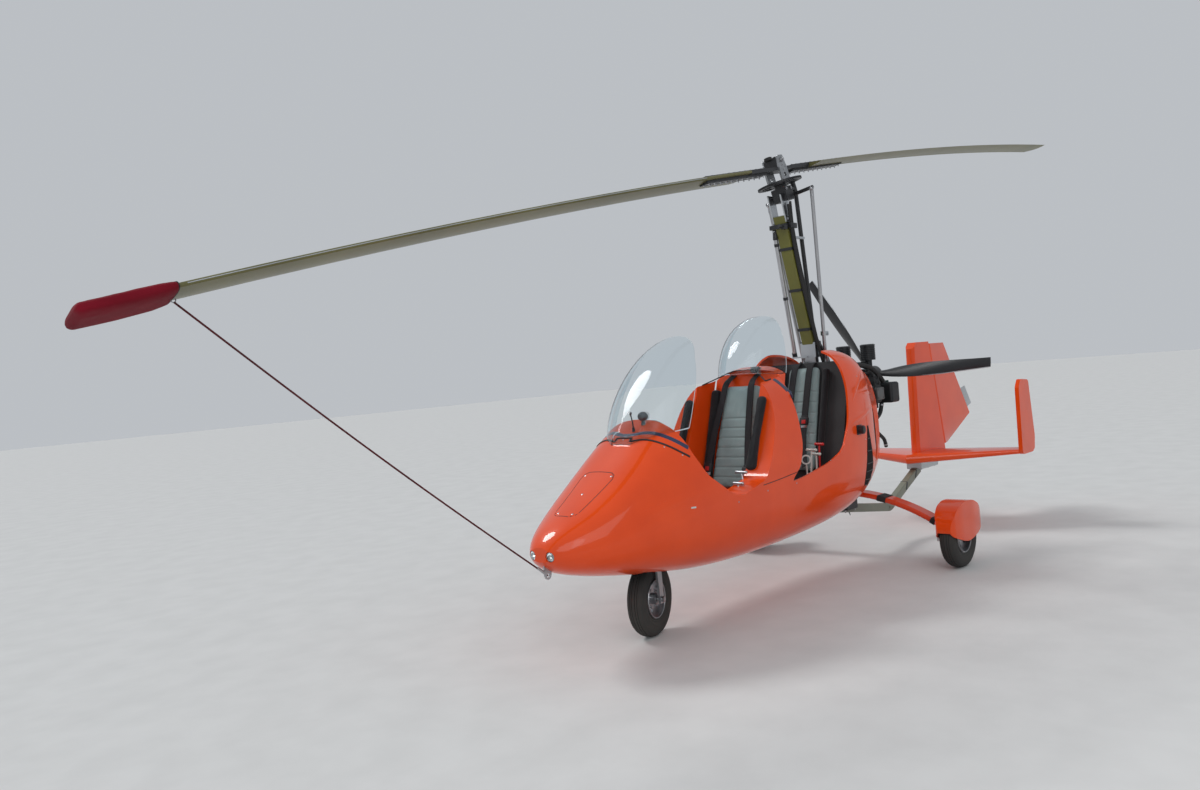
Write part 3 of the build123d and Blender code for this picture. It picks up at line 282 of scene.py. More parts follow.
def sweep(bm, path, profile, normals=None, closed=False):
    normal = Vector((0, 0, 1))
    rings = []
    count = len(path)
    for i, point in enumerate(path):
        if closed:
            tangent = (path[(i + 1) % count] - path[i - 1]).normalized()
        else:
            tangent = (path[min(i + 1, count - 1)] - path[max(i - 1, 0)]).normalized()
        if normals:
            normal = normals[i]
        normal = normal - tangent * normal.dot(tangent)
        if normal.length < 0.001:
            normal = tangent.orthogonal()
        normal.normalize()
        across = tangent.cross(normal)
        rings.append([bm.verts.new(point + across * a + normal * b) for a, b in profile])
    joinRings(bm, rings, closed)


def aroundClock(count, part=0.0):
    return [math.tau * (k + part) / count for k in range(count)]


def circleOf(radius, sides=12):
    return [(radius * math.cos(turn), radius * math.sin(turn)) for turn in aroundClock(sides)]


def bandOf(width, thickness):
    half, low = width / 2, thickness * 0.5
    return [(-half, 0), (-half, low), (-half + low, thickness), (half - low, thickness), (half, low),
            (half, 0)]


def tube(bm, points, radius, sides=12, steps=8):
    sweep(bm, smoothPath(points, steps), circleOf(radius, sides))


def spokesAround(axis, steps):
    axis = Vector(axis).normalized()
    side = axis.orthogonal().normalized()
    other = axis.cross(side)
    return [side * math.cos(turn) + other * math.sin(turn) for turn in aroundClock(steps)]


def ring(bm, middle, axis, radius, section, steps=40):
    spokes = spokesAround(axis, steps)
    sweep(bm, [Vector(middle) + spoke * radius for spoke in spokes], section, spokes, closed=True)


def turned(bm, profile, middle, axis, steps=40, loop=False):
    axis = Vector(axis).normalized()
    spokes = spokesAround(axis, steps)
    rings = []
    for along, radius in profile:
        centre = Vector(middle) + axis * along
        reach = [spoke * radius for spoke in spokes] if radius >= 1e-6 else [Vector()]
        rings.append([bm.verts.new(centre + step) for step in reach])
    joinRings(bm, rings, loop)


def bolt(bm, point, normal, radius):
    point, normal = Vector(point), Vector(normal).normalized()
    rod(bm, point - normal * 0.001, point + normal * 0.0015, radius * 1.5, sides=16)
    rod(bm, point, point + normal * radius * 0.9, radius, radius * 0.9, sides=6)


def screw(bm, point, normal, radius):
    turned(bm, [(-0.001, radius), (0.0006, radius), (0.0014, radius * 0.7), (0.0014, radius * 0.35),
                (0.0004, radius * 0.3), (0.0004, 0)], point, normal, 14)


# a shape is a row: the function that draws it, then its values. A piece draws each group of its shapes
# once for every place in that group's list
places = {
    "once": [Matrix.Identity(4)],
    "bothSides": [Matrix.Identity(4), Matrix.Diagonal((1, -1, 1, 1))],
    "bothEnds": [Matrix.Identity(4), Matrix.Rotation(math.pi, 4, "Z")],
}


def makePiece(name, finish, body="airframe", crease=34, **groups):
    whole = bmesh.new()
    for group, shapes in groups.items():
        for place in places[group]:
            bm = bmesh.new()
            for draw, *values in shapes:
                draw(bm, *values)
            bm.transform(place)
            part = bpy.data.meshes.new("part")
            bm.to_mesh(part)
            bm.free()
            whole.from_mesh(part)
            bpy.data.meshes.remove(part)
    return addPiece(whole, name, finish, body, crease)


def makePieces(stage, pieces):
    for name, piece in pieces.items():
        makePiece(name, **piece)
    print(stage, "ready:", len(pieces), "pieces")


# quilted pads, each drawn on the face of its seat shell. A pad with a side is a black one of a pair, and
# seams gives the first seam, the step and the count
seatFaces = {
    "frontBack": dict(foot=(0.744, 0, 0.560), along=(-0.3073, 0, 0.9516)),
    "frontPan": dict(foot=(1.168, 0, 0.5006), along=(-1, 0, 0)),
    "rearBack": dict(foot=(0.030, 0, 0.600), along=(-0.2788, 0, 0.9604)),
    "rearPan": dict(foot=(0.362, 0, 0.5606), along=(-1, 0, 0)),
    "frontSide": dict(foot=(0.9105, 0, 0.7976), along=(-0.4028, 0, 0.9153)),
}
pads = {
    "frontSidePad": dict(face="frontSide", side=0.266, low=0.036, high=0.03, start=0.005, length=0.44,
                         thick=0.034, fill=0.8),
    "frontBackPad": dict(face="frontBack", low=0.165, high=0.135, start=0.105, length=0.64, thick=0.05,
                         fill=0.7, seams=(0.17, 0.06, 7)),
    "frontBackRoll": dict(face="frontBack", side=0.198, low=0.027, high=0.03, start=0.10, length=0.62,
                          thick=0.062, fill=0.85),
    "frontPanPad": dict(face="frontPan", low=0.165, high=0.16, start=0.005, length=0.385, thick=0.052,
                        fill=0.7, seams=(0.09, 0.08, 4)),
    "frontPanRoll": dict(face="frontPan", side=0.197, low=0.026, high=0.026, start=0.01, length=0.375,
                         thick=0.06, fill=0.85),
    "rearBackPad": dict(face="rearBack", low=0.135, high=0.12, start=0.075, length=0.70, thick=0.036,
                        fill=0.7, seams=(0.18, 0.07, 7)),
    "rearBackRoll": dict(face="rearBack", side=0.163, low=0.022, high=0.022, start=0.075, length=0.68,
                         thick=0.044, fill=0.85),
    "rearPanPad": dict(face="rearPan", low=0.17, high=0.165, start=0.004, length=0.262, thick=0.05, fill=0.7,
                       seams=(0.09, 0.09, 2)),
}
padCut = dict(quiltCorner=0.3, rollCorner=0.8, edge=0.3, base=0.004, lowest=0.0006)
padSwell = dict(voxel=0.006, pressure=4.0, frames=20, cap=0.009, seamWidth=0.0045, seamDepth=0.0065,
                pucker=0.0024, grain=(38, 22), shift=9)


def seatFrame(face):
    along = Vector(seatFaces[face]["along"]).normalized()
    normal = Vector((0, 1, 0)).cross(along)
    turn = Matrix((Vector((0, 1, 0)), along, normal)).transposed().to_4x4()
    return Matrix.Translation(seatFaces[face]["foot"]) @ turn


def bakeModifiers(piece):
    seen = piece.evaluated_get(bpy.context.evaluated_depsgraph_get())
    mesh = bpy.data.meshes.new_from_object(seen)
    piece.modifiers.clear()
    piece.data = mesh


def swell(piece):
    scene = bpy.context.scene
    start = [vert.co.copy() for vert in piece.data.vertices]
    cloth = piece.modifiers.new("swell", "CLOTH")
    cloth.settings.use_pressure = True
    cloth.settings.uniform_pressure_force = padSwell["pressure"]
    cloth.settings.effector_weights.gravity = 0
    cloth.point_cache.frame_end = padSwell["frames"]
    for step in range(1, padSwell["frames"] + 1):
        scene.frame_set(step)
    seen = piece.evaluated_get(bpy.context.evaluated_depsgraph_get())
    moved = [vert.co.copy() for vert in seen.data.vertices]
    piece.modifiers.clear()
    scene.frame_set(1)
    for vert, near, far in zip(piece.data.vertices, start, moved):
        step = far - near
        if step.length > padSwell["cap"]:
            step *= padSwell["cap"] / step.length
        vert.co = near + step


def quilt(piece, seams, side, thick):
    across, along = padSwell["grain"]
    for vert in piece.data.vertices:
        spot = vert.co
        raised = min(1.0, max(0.0, spot.z / thick))
        groove = sum(math.exp(-((spot.y - seam) / padSwell["seamWidth"]) ** 2) for seam in seams)
        spot.z -= groove * padSwell["seamDepth"] * raised
        crease = noise.noise(Vector((spot.x * across, spot.y * along, side * padSwell["shift"])))
        spot.z += crease * padSwell["pucker"] * raised
        spot.z = max(spot.z, padCut["lowest"])


def makePad(name, pad, side):
    quilted = "seams" in pad
    first, step, count = pad.get("seams", (0, 0, 0))
    far = pad["start"] + pad["length"]
    corners = [(side - pad["low"], pad["start"]), (side + pad["low"], pad["start"]),
               (side + pad["high"], far), (side - pad["high"], far)]
    bm = bmesh.new()
    bm.faces.new([bm.verts.new((u, v, padCut["base"])) for u, v in corners])
    roundness = min(pad["low"], pad["high"]) * padCut["quiltCorner" if quilted else "rollCorner"]
    bmesh.ops.bevel(bm, geom=bm.verts[:], offset=roundness, segments=6, affect="VERTICES", profile=0.5,
                    material=-1)
    raised = bmesh.ops.extrude_face_region(bm, geom=bm.faces[:])
    top = [item for item in raised["geom"] if isinstance(item, bmesh.types.BMVert)]
    bmesh.ops.translate(bm, verts=top, vec=(0, 0, pad["thick"] - 2 * padCut["base"]))
    rim = [edge for edge in bm.edges if abs(edge.verts[0].co.z - edge.verts[1].co.z) < 0.0001]
    bmesh.ops.bevel(bm, geom=rim, offset=pad["thick"] * padCut["edge"], segments=3, affect="EDGES",
                    profile=0.5, material=-1)
    piece = addPiece(bm, name, "sageCloth" if quilted else "blackCloth")
    remesh = piece.modifiers.new("even", "REMESH")
    remesh.mode = "VOXEL"
    remesh.voxel_size = padSwell["voxel"]
    bakeModifiers(piece)
    swell(piece)
    quilt(piece, [first + step * k for k in range(count)], side, pad["thick"])
    smooth = piece.modifiers.new("fine", "SUBSURF")
    smooth.levels = 1
    smooth.render_levels = 1
    bakeModifiers(piece)
    piece.data.transform(seatFrame(pad["face"]))
    piece.data.shade_smooth()
    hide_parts("front_cushions" if name.startswith("front") else "rear_cushions")


for name, pad in pads.items():
    if "side" in pad:
        makePad(name + "Left", pad, pad["side"])
        makePad(name + "Right", pad, -pad["side"])
    else:
        makePad(name, pad, 0)
print("pads ready")

# harness webbing over both seats, its points across, along and off the seat's face
straps = {
    "frontShoulderLeft": dict(face="frontBack", width=0.045, points=[
        (0.07, 0.86, -0.05), (0.075, 0.80, 0.015), (0.08, 0.74, 0.062), (0.085, 0.62, 0.068),
        (0.095, 0.42, 0.066), (0.115, 0.24, 0.068), (0.135, 0.14, 0.082)]),
    "frontShoulderRight": dict(face="frontBack", width=0.045, points=[
        (-0.10, 0.86, -0.05), (-0.105, 0.80, 0.015), (-0.11, 0.74, 0.062), (-0.125, 0.62, 0.066),
        (-0.15, 0.42, 0.072), (-0.165, 0.24, 0.076), (-0.16, 0.15, 0.08)]),
    "rearShoulderLeft": dict(face="rearBack", width=0.048, points=[
        (0.055, 0.80, -0.01), (0.055, 0.79, 0.03), (0.055, 0.72, 0.052), (0.05, 0.52, 0.053),
        (0.045, 0.32, 0.052), (0.06, 0.17, 0.054), (0.09, 0.10, 0.075)]),
    "rearShoulderRight": dict(face="rearBack", width=0.048, points=[
        (-0.055, 0.80, -0.01), (-0.055, 0.79, 0.03), (-0.06, 0.72, 0.052), (-0.07, 0.52, 0.053),
        (-0.09, 0.32, 0.052), (-0.10, 0.17, 0.054), (-0.10, 0.10, 0.072)]),
    "frontLapLeft": dict(face="frontPan", width=0.046, points=[
        (0.226, 0.34, 0.03), (0.222, 0.30, 0.07), (0.19, 0.26, 0.078), (0.14, 0.22, 0.07),
        (0.08, 0.16, 0.068)]),
    "frontLapRight": dict(face="frontPan", width=0.046, points=[
        (-0.226, 0.34, 0.03), (-0.222, 0.30, 0.07), (-0.19, 0.25, 0.078), (-0.14, 0.19, 0.07),
        (-0.09, 0.12, 0.068)]),
    "rearLapLeft": dict(face="rearPan", width=0.046, points=[
        (0.19, 0.23, 0.03), (0.18, 0.20, 0.066), (0.13, 0.15, 0.068), (0.07, 0.09, 0.068)]),
    "rearLapRight": dict(face="rearPan", width=0.046, points=[
        (-0.19, 0.23, 0.03), (-0.18, 0.20, 0.066), (-0.13, 0.13, 0.068), (-0.08, 0.06, 0.068)]),
}
strapCloth = dict(thick=0.0028, stitch=0.0006, edge=0.42)
for name, strap in straps.items():
    place = seatFrame(strap["face"])
    path = smoothPath([place @ Vector(point) for point in strap["points"]], 10)
    outward = [place.to_3x3() @ Vector((0, 0, 1))] * len(path)
    makePiece(name, "webbing", once=[(sweep, path, bandOf(strap["width"], strapCloth["thick"]), outward)])
    threads = [[(side * strap["width"] * strapCloth["edge"] + a, strapCloth["thick"] + b)
                for a, b in circleOf(strapCloth["stitch"], 6)] for side in (-1, 1)]
    makePiece(name + "Stitch", "blackCloth", once=[(sweep, path, thread, outward) for thread in threads])

buckles = {
    "frontBuckleLeft": dict(face="frontBack", place=(0.122, 0.20, 0.078), size=(0.07, 0.055, 0.016)),
    "frontBuckleRight": dict(face="frontBack", place=(-0.162, 0.22, 0.084), size=(0.062, 0.05, 0.014)),
    "rearBuckleLeft": dict(face="rearBack", place=(0.048, 0.40, 0.058), size=(0.064, 0.05, 0.014)),
    "rearBuckleRight": dict(face="rearBack", place=(-0.083, 0.38, 0.058), size=(0.064, 0.05, 0.014)),
    "frontLapBuckle": dict(face="frontPan", place=(0.075, 0.155, 0.078), size=(0.075, 0.065, 0.018)),
    "rearLapBuckle": dict(face="rearPan", place=(0.06, 0.085, 0.076), size=(0.07, 0.06, 0.018)),
}
strapGuide = dict(face="frontBack", place=(0.075, 0.835, 0.03), size=(0.06, 0.036, 0.03), bevel=0.008)
for name, buckle in buckles.items():
    width, length, height = buckle["size"]
    places["buckle"] = [seatFrame(buckle["face"]) @ Matrix.Translation(buckle["place"])]
    makePiece(name, "blackPlastic", buckle=[
        (box, (0, 0, 0), buckle["size"], 0.005), (box, (0, length * 0.62, -0.002),
                                                  (width * 0.8, 0.012, 0.006))])
    makePiece(name + "Button", "redPlastic", buckle=[
        (box, (0, -length * 0.1, height * 0.5), (width * 0.45, length * 0.5, 0.003), 0.001)])
    makePiece(name + "Tongue", "steel", buckle=[
        (box, (0, -length * 0.66, -0.003), (width * 0.7, 0.02, 0.003), 0.001)])
places["guide"] = [seatFrame(strapGuide["face"])]
makePiece("strapGuide", "castMetal", guide=[(box, strapGuide["place"], strapGuide["size"],
                                             strapGuide["bevel"])])
print("harness ready")

# tyres with ribbed tread and sidewall rings, rim bolts, hub caps and valves
steerTurn = math.radians(15)
forkAxis = 1.575
noseTrail = 0.03
axleHeight = 0.2
mainAxle = dict(station=-0.541, side=0.787)
wheels = {
    "nose": dict(middle=(forkAxis - noseTrail * math.cos(steerTurn), -noseTrail * math.sin(steerTurn),
                         axleHeight),
                 axis=(-math.sin(steerTurn), math.cos(steerTurn), 0), node="nose_tyre", outer=1),
    "left": dict(middle=(mainAxle["station"], mainAxle["side"], axleHeight), axis=(0, 1, 0),
                 node="main_tyre_left", outer=1),
    "right": dict(middle=(mainAxle["station"], -mainAxle["side"], axleHeight), axis=(0, 1, 0),
                  node="main_tyre_right", outer=-1),
}
rimBolts = dict(count=5, circle=0.045, face=0.013, radius=0.0055)
rimEdge = dict(face=0.041, radius=0.1005, bead=0.0032)
valve = dict(circle=0.092, foot=0.012, neck=0.032, cap=0.04, radius=0.0045, capRadius=0.0055)
# half cross-section of a tyre: place across and radius, from the middle of the tread to the bead
tyreHalf = [(0.0, 0.1996), (0.0075, 0.1994), (0.008, 0.1955), (0.0105, 0.1955), (0.011, 0.1988),
            (0.0195, 0.1975),
            (0.02, 0.1935), (0.0225, 0.1932), (0.023, 0.1962), (0.031, 0.1925), (0.0385, 0.187),
            (0.0405, 0.1845),
            (0.0415, 0.1842), (0.0445, 0.178), (0.0475, 0.168), (0.0492, 0.158), (0.0495, 0.149),
            (0.0485, 0.1475),
            (0.0485, 0.1455), (0.0492, 0.1445), (0.0475, 0.134), (0.0445, 0.124), (0.0425, 0.1225),
            (0.0425, 0.1205), (0.0435, 0.1195), (0.041, 0.112), (0.036, 0.106), (0.036, 0.1045)]
tyreLoop = tyreHalf + [(-across, radius) for across, radius in reversed(tyreHalf[1:])]
for name, wheel in wheels.items():
    middle, axis = Vector(wheel["middle"]), Vector(wheel["axis"]).normalized()
    body = name + "_wheel"
    tyre = makePiece(name + "Tyre", "tyreRubber", body, once=[(turned, tyreLoop, middle, axis, 96, True)])
    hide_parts(wheel["node"])
    side = axis.orthogonal().normalized()
    other = axis.cross(side)
    shapes = []
    for face in (1, -1):
        out = axis * face
        for turn in aroundClock(rimBolts["count"], 0.5):
            spot = middle + (side * math.cos(turn) + other * math.sin(turn)) * rimBolts["circle"]
            shapes.append((bolt, spot + out * rimBolts["face"], out, rimBolts["radius"]))
        edge = middle + out * rimEdge["face"]
        shapes.append((ring, edge, axis, rimEdge["radius"], circleOf(rimEdge["bead"], 8), 64))
        cap = [(0, 0.029), (0.004 * face, 0.029), (0.007 * face, 0.024), (0.007 * face, 0.0145)]
        shapes.append((turned, cap, edge + out * 0.001, axis))
    makePiece(name + "WheelBolts", "steel", body, once=shapes)
    stem, out = middle + side * valve["circle"], axis * wheel["outer"]
    makePiece(name + "Valve", "rubber", body, once=[
        (rod, stem + out * valve["foot"], stem + out * valve["neck"], valve["radius"]),
        (rod, stem + out * (valve["neck"] - 0.002), stem + out * valve["cap"], valve["capRadius"])])
print("tyres ready")

# rotor frame: X along the front blade, Z up the leaning spindle
rotorLean = dict(tilt=9.73, lean=-8.36, azimuth=-3.95, height=2.64)
tilt, lean = math.radians(rotorLean["tilt"]), math.radians(rotorLean["lean"])
spindle = Vector((math.sin(tilt), math.sin(lean), math.cos(tilt))).normalized()


def discFrame(turn):
    ahead = Vector((math.cos(turn), math.sin(turn), 0))
    ahead = (ahead - spindle * ahead.dot(spindle)).normalized()
    axes = Matrix((ahead, spindle.cross(ahead), spindle)).transposed().to_4x4()
    return Matrix.Translation((0, 0, rotorLean["height"])) @ axes


rotorFrame = discFrame(math.radians(rotorLean["azimuth"]))
headFrame = discFrame(0)
places["rotorEnds"] = [rotorFrame @ place for place in places["bothEnds"]]
places["rotorSides"] = [rotorFrame @ place for place in places["bothSides"]]
places["headSides"] = [headFrame @ place for place in places["bothSides"]]
blade = dict(root=0.33, radius=4.2, droop=0.136, rearDroop=0.152, pitch=math.radians(3.8), nose=0.055)
bladeReach = blade["radius"] - blade["root"]
tipFrame = (rotorFrame @ Matrix.Translation((blade["radius"], 0, -blade["droop"])) @
            Matrix.Rotation(2 * blade["droop"] / bladeReach, 4, "Y") @ Matrix.Rotation(blade["pitch"], 4,
                                                                                       "X"))
places["tip"] = [tipFrame]

# cloth bag over the front blade tip, its black hem and the ring that holds the line
bag = dict(start=-0.312, end=0.04, middle=-0.045, half=0.112, thick=0.027, hemHalf=0.106, hemThick=0.019,
           wrinkle=0.0035, sag=0.008, rings=56, around=72, narrowed=0.72, closing=0.93)
hem = dict(inset=0.001, along=0.014, width=0.028, thick=0.0032)
bagRing = dict(along=0.004, drop=-0.026, radius=0.009, wire=0.0022)


def softCorner(turn):
    across, high = math.cos(turn), math.sin(turn)
    return math.copysign(abs(across) ** 0.55, across), math.copysign(abs(high) ** 0.7, high)


def bagSection(share):
    along = bag["start"] + (bag["end"] - bag["start"]) * share
    swelled = min(1.0, share * 6) ** 0.5
    closing = max(0.0, (share - bag["closing"]) / (1 - bag["closing"]))
    shut = math.sqrt(max(0.0, 1 - closing ** 2))
    half = bag["hemHalf"] + (bag["half"] - bag["hemHalf"]) * swelled
    half *= bag["narrowed"] + (1 - bag["narrowed"]) * shut
    thick = (bag["hemThick"] + (bag["thick"] - bag["hemThick"]) * swelled) * max(0.12, shut)
    sag = bag["sag"] * swelled * shut * math.sin(math.pi * min(1, share * 1.05)) * 0.5
    section = []
    for turn in aroundClock(bag["around"]):
        across, high = softCorner(turn)
        across, high = across * half, high * thick
        fold = noise.noise(Vector((along * 16, across * 26, high * 30 + 3))) * bag["wrinkle"]
        fold += noise.noise(Vector((along * 60 + across * 30, across * 24,
                                    high * 20))) * bag["wrinkle"] * 0.35
        if high < 0:
            high -= sag
        high *= 1 + fold / max(thick, 0.006) * 0.4
        section.append(tipFrame @ Vector((along, bag["middle"] + across + fold, high)))
    return section


bm = bmesh.new()
sections = [bagSection(i / bag["rings"]) for i in range(bag["rings"] + 1)]
joinRings(bm, [[bm.verts.new(spot) for spot in section] for section in sections])
tipBag = addPiece(bm, "tipBag", "redCloth", "rotor", crease=60)
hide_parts("tip_cover")
hemPath, hemOut = [], []
for turn in aroundClock(bag["around"]):
    across, high = softCorner(turn)
    hemPath.append(Vector((bag["start"] + hem["along"],
                           bag["middle"] + across * (bag["hemHalf"] - hem["inset"]),
                           high * (bag["hemThick"] - hem["inset"]))))
    hemOut.append(Vector((0, across * 0.4, high)).normalized())
hemBand = bandOf(hem["width"], hem["thick"])
makePiece("tipBagHem", "webbing", "rotor", 60, tip=[(sweep, hemPath, hemBand, hemOut, True)])
ringSpot = (bag["start"] + bagRing["along"], bag["middle"], bagRing["drop"])
makePiece("tipBagRing", "steel", "rotor", tip=[
    (ring, ringSpot, (0, 1, 0), bagRing["radius"], circleOf(bagRing["wire"], 8), 24)])

# taut tie-down line from the bag to the eye under the nose
tieLine = dict(eye=(2.262, 0, 0.478), bagEnd=(bag["start"] + 0.004, bag["middle"], -0.035), steps=90,
               sag=0.02, radius=0.004)
eyePoint = Vector(tieLine["eye"])
bagPoint = tipFrame @ Vector(tieLine["bagEnd"])
linePath = []
for k in range(tieLine["steps"] + 1):
    share = k / tieLine["steps"]
    linePath.append(eyePoint.lerp(bagPoint, share) - Vector((0, 0,
                                                             tieLine["sag"] * math.sin(math.pi * share))))
bm = bmesh.new()
sweep(bm, linePath, circleOf(tieLine["radius"], 10))
tieDown = addPiece(bm, "tieDownLine", "redCord", body=None)
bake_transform(tieDown)
run = (bagPoint - eyePoint).normalized()
makePiece("tieDownHook", "steel", once=[
    (rod, eyePoint + run * 0.02, eyePoint + run * 0.075, 0.0068),
    (ring, eyePoint + run * 0.004, (0.3, 0.95, 0.1), 0.0145, circleOf(0.0028, 8), 28)])
print("tip bag and line ready")

# rotor fasteners, in the rotor's own frame: clamp bolts, tower bolts, side plates and rubber stops
hubBolts = dict(first=0.175, last=0.735, count=11, rows=(-0.016, 0.016), top=0.019, foot=-0.025,
                radius=0.0062, thread=0.0038, tail=0.012)
teeterNut = dict(out=0.0765, high=0.052, radius=0.0155, pinRadius=0.0085)
hubRows = []
for k in range(hubBolts["count"]):
    along = hubBolts["first"] + (hubBolts["last"] - hubBolts["first"]) * k / (hubBolts["count"] - 1)
    for row in hubBolts["rows"]:
        low = (along, row, hubBolts["foot"])
        hubRows += [(bolt, (along, row, hubBolts["top"]), (0, 0, 1), hubBolts["radius"]),
                    (bolt, low, (0, 0, -1), hubBolts["radius"]),
                    (rod, low, (along, row, hubBolts["foot"] - hubBolts["tail"]), hubBolts["thread"], None,
                     10)]
nutFace = (0, teeterNut["out"], teeterNut["high"])
towerRows = [(bolt, (along, 0.0625, high), (0, 1, 0), radius) for along, high, radius in (
    (-0.028, -0.075, 0.007), (0.028, -0.075, 0.007), (0, 0.02, 0.006), (-0.03, 0.005, 0.0045),
    (0.03, 0.005, 0.0045), (0, -0.012, 0.0045))]
towerRows += [(rod, (0, teeterNut["out"] - 0.013, teeterNut["high"]), nutFace, teeterNut["radius"], None, 6),
              (rod, nutFace, (0, teeterNut["out"] + 0.006, teeterNut["high"]), teeterNut["pinRadius"])]
stopProfile = [(0, 0.02), (0.004, 0.026), (0.02, 0.026), (0.024, 0.02), (0.024, 0)]
makePieces("rotor fasteners", {
    "hubBarBolts": dict(finish="steel", body="rotor", rotorEnds=hubRows),
    "towerBolts": dict(finish="steel", body="rotor", rotorSides=towerRows),
    "hubBarCheeks": dict(finish="blackMetal", body="rotor", rotorEnds=[
        (box, (0.24, 0.036, 0.001), (0.19, 0.008, 0.03)), (box, (0.24, -0.036, 0.001), (0.19, 0.008, 0.03))]),
    "teeterStops": dict(finish="rubber", body="rotor", rotorEnds=[
        (turned, stopProfile, (0.045, 0, 0.066), (0, 0, 1), 24)]),
})

# steel tape along each blade's nose, which stops short of the bag in front
noseTape = dict(steps=39, start=0.45, short=0.47, bagged=0.32, inset=0.0008, radius=0.0022)
noseLift = blade["nose"] * math.tan(blade["pitch"])
tapes = []
for side, droop in ((1, blade["droop"]), (-1, blade["rearDroop"])):
    arc = bladeReach ** 2 / (2 * droop)
    length = bladeReach - noseTape["short"] - (noseTape["bagged"] if side > 0 else 0)
    tape = []
    for k in range(noseTape["steps"] + 1):
        turn = (noseTape["start"] + length * k / noseTape["steps"]) / arc
        tape.append(rotorFrame @ Vector((side * (blade["root"] + arc * math.sin(turn)),
                                         side * (blade["nose"] - noseTape["inset"]),
                                         noseLift - arc * (1 - math.cos(turn)))))
    tapes.append((sweep, tape, circleOf(noseTape["radius"], 8)))
makePiece("bladeNoseTape", "bareAlloy", "rotor", once=tapes)


# two-tone metal on the head, the mast foot and the tower
def repaint(name, finish, wanted):
    mesh = nodes[name].data
    mesh.materials.append(materials[finish])
    for face in mesh.polygons:
        if wanted(face.center):
            face.material_index = len(mesh.materials) - 1


rotorBack = rotorFrame.inverted()
paintEdges = dict(towerFoot=-0.083, headTop=2.43, headSide=0.04, mastFoot=1.515, clampFoot=2.2605,
                  clampTop=2.2915, clampSide=0.0445, clampFront=0.004)


def inClamp(spot):
    wide = abs(spot.y) > paintEdges["clampSide"] or spot.x > paintEdges["clampFront"]
    return paintEdges["clampFoot"] < spot.z < paintEdges["clampTop"] and wide


repaint("rotor_tower", "blackMetal", lambda spot: (rotorBack @ spot).z < paintEdges["towerFoot"])
repaint("rotor_head", "bareAlloy",
        lambda spot: spot.z < paintEdges["headTop"] and abs(spot.y) > paintEdges["headSide"])
repaint("mast", "bareAlloy", lambda spot: spot.z < paintEdges["mastFoot"])
repaint("mast", "blackMetal", inClamp)

# clamps, linkage, cables and cylinder caps on the mast
mastLine = dict(foot=(-0.256, 0, 1.46), head=(-0.012, 0, 2.345), bands=(1.60, 1.86, 2.13))
armEnd = dict(station=-0.075, side=0.165, high=-0.185)
trimLine = dict(head=(-0.022, -0.060, 2.259), foot=(-0.216, -0.098, 1.425), bands=(0.1, 0.52), width=0.02,
                radius=0.0162)
armShapes = []
for side in (1, -1):
    end = headFrame @ Vector((armEnd["station"], side * armEnd["side"], armEnd["high"]))
    armShapes += [(ball, end, 0.017), (rod, end, end - Vector((0.004, 0, 0.05)), 0.0095)]
mastFoot, mastHead = Vector(mastLine["foot"]), Vector(mastLine["head"])
mastBands = []
for height in mastLine["bands"]:
    share = (height - mastFoot.z) / (mastHead.z - mastFoot.z)
    mastBands.append((box, mastFoot.lerp(mastHead, share), (0.056, 0.093, 0.02), 0.004))
trimHead, trimFoot = Vector(trimLine["head"]), Vector(trimLine["foot"])
trimRun = (trimFoot - trimHead).normalized() * trimLine["width"]
trimBands = [(rod, trimHead.lerp(trimFoot, share), trimHead.lerp(trimFoot, share) + trimRun,
              trimLine["radius"])
             for share in trimLine["bands"]]
mastCables = {
    "mastCableOne": dict(radius=0.0095, points=[
        (-0.005, 0.072, 2.41), (-0.028, 0.066, 2.29), (-0.076, 0.057, 2.08), (-0.152, 0.056, 1.80),
        (-0.228, 0.066, 1.52), (-0.28, 0.078, 1.36), (-0.345, 0.08, 1.24)]),
    "mastCableTwo": dict(radius=0.0085, points=[
        (-0.03, 0.072, 2.43), (-0.048, 0.066, 2.27), (-0.096, 0.055, 2.06), (-0.172, 0.055, 1.78),
        (-0.247, 0.067, 1.50), (-0.30, 0.079, 1.35), (-0.345, 0.1, 1.22)]),
    "mastCableThree": dict(radius=0.0075, points=[
        (-0.06, 0.05, 2.42), (-0.07, 0.055, 2.26), (-0.115, 0.054, 2.05), (-0.191, 0.054, 1.77),
        (-0.266, 0.057, 1.5), (-0.32, 0.062, 1.34), (-0.35, 0.06, 1.2)]),
}


def makeTubes(table, sides, steps):
    return {name: dict(finish="rubber", once=[(tube, line["points"], line["radius"], sides, steps)])
            for name, line in table.items()}


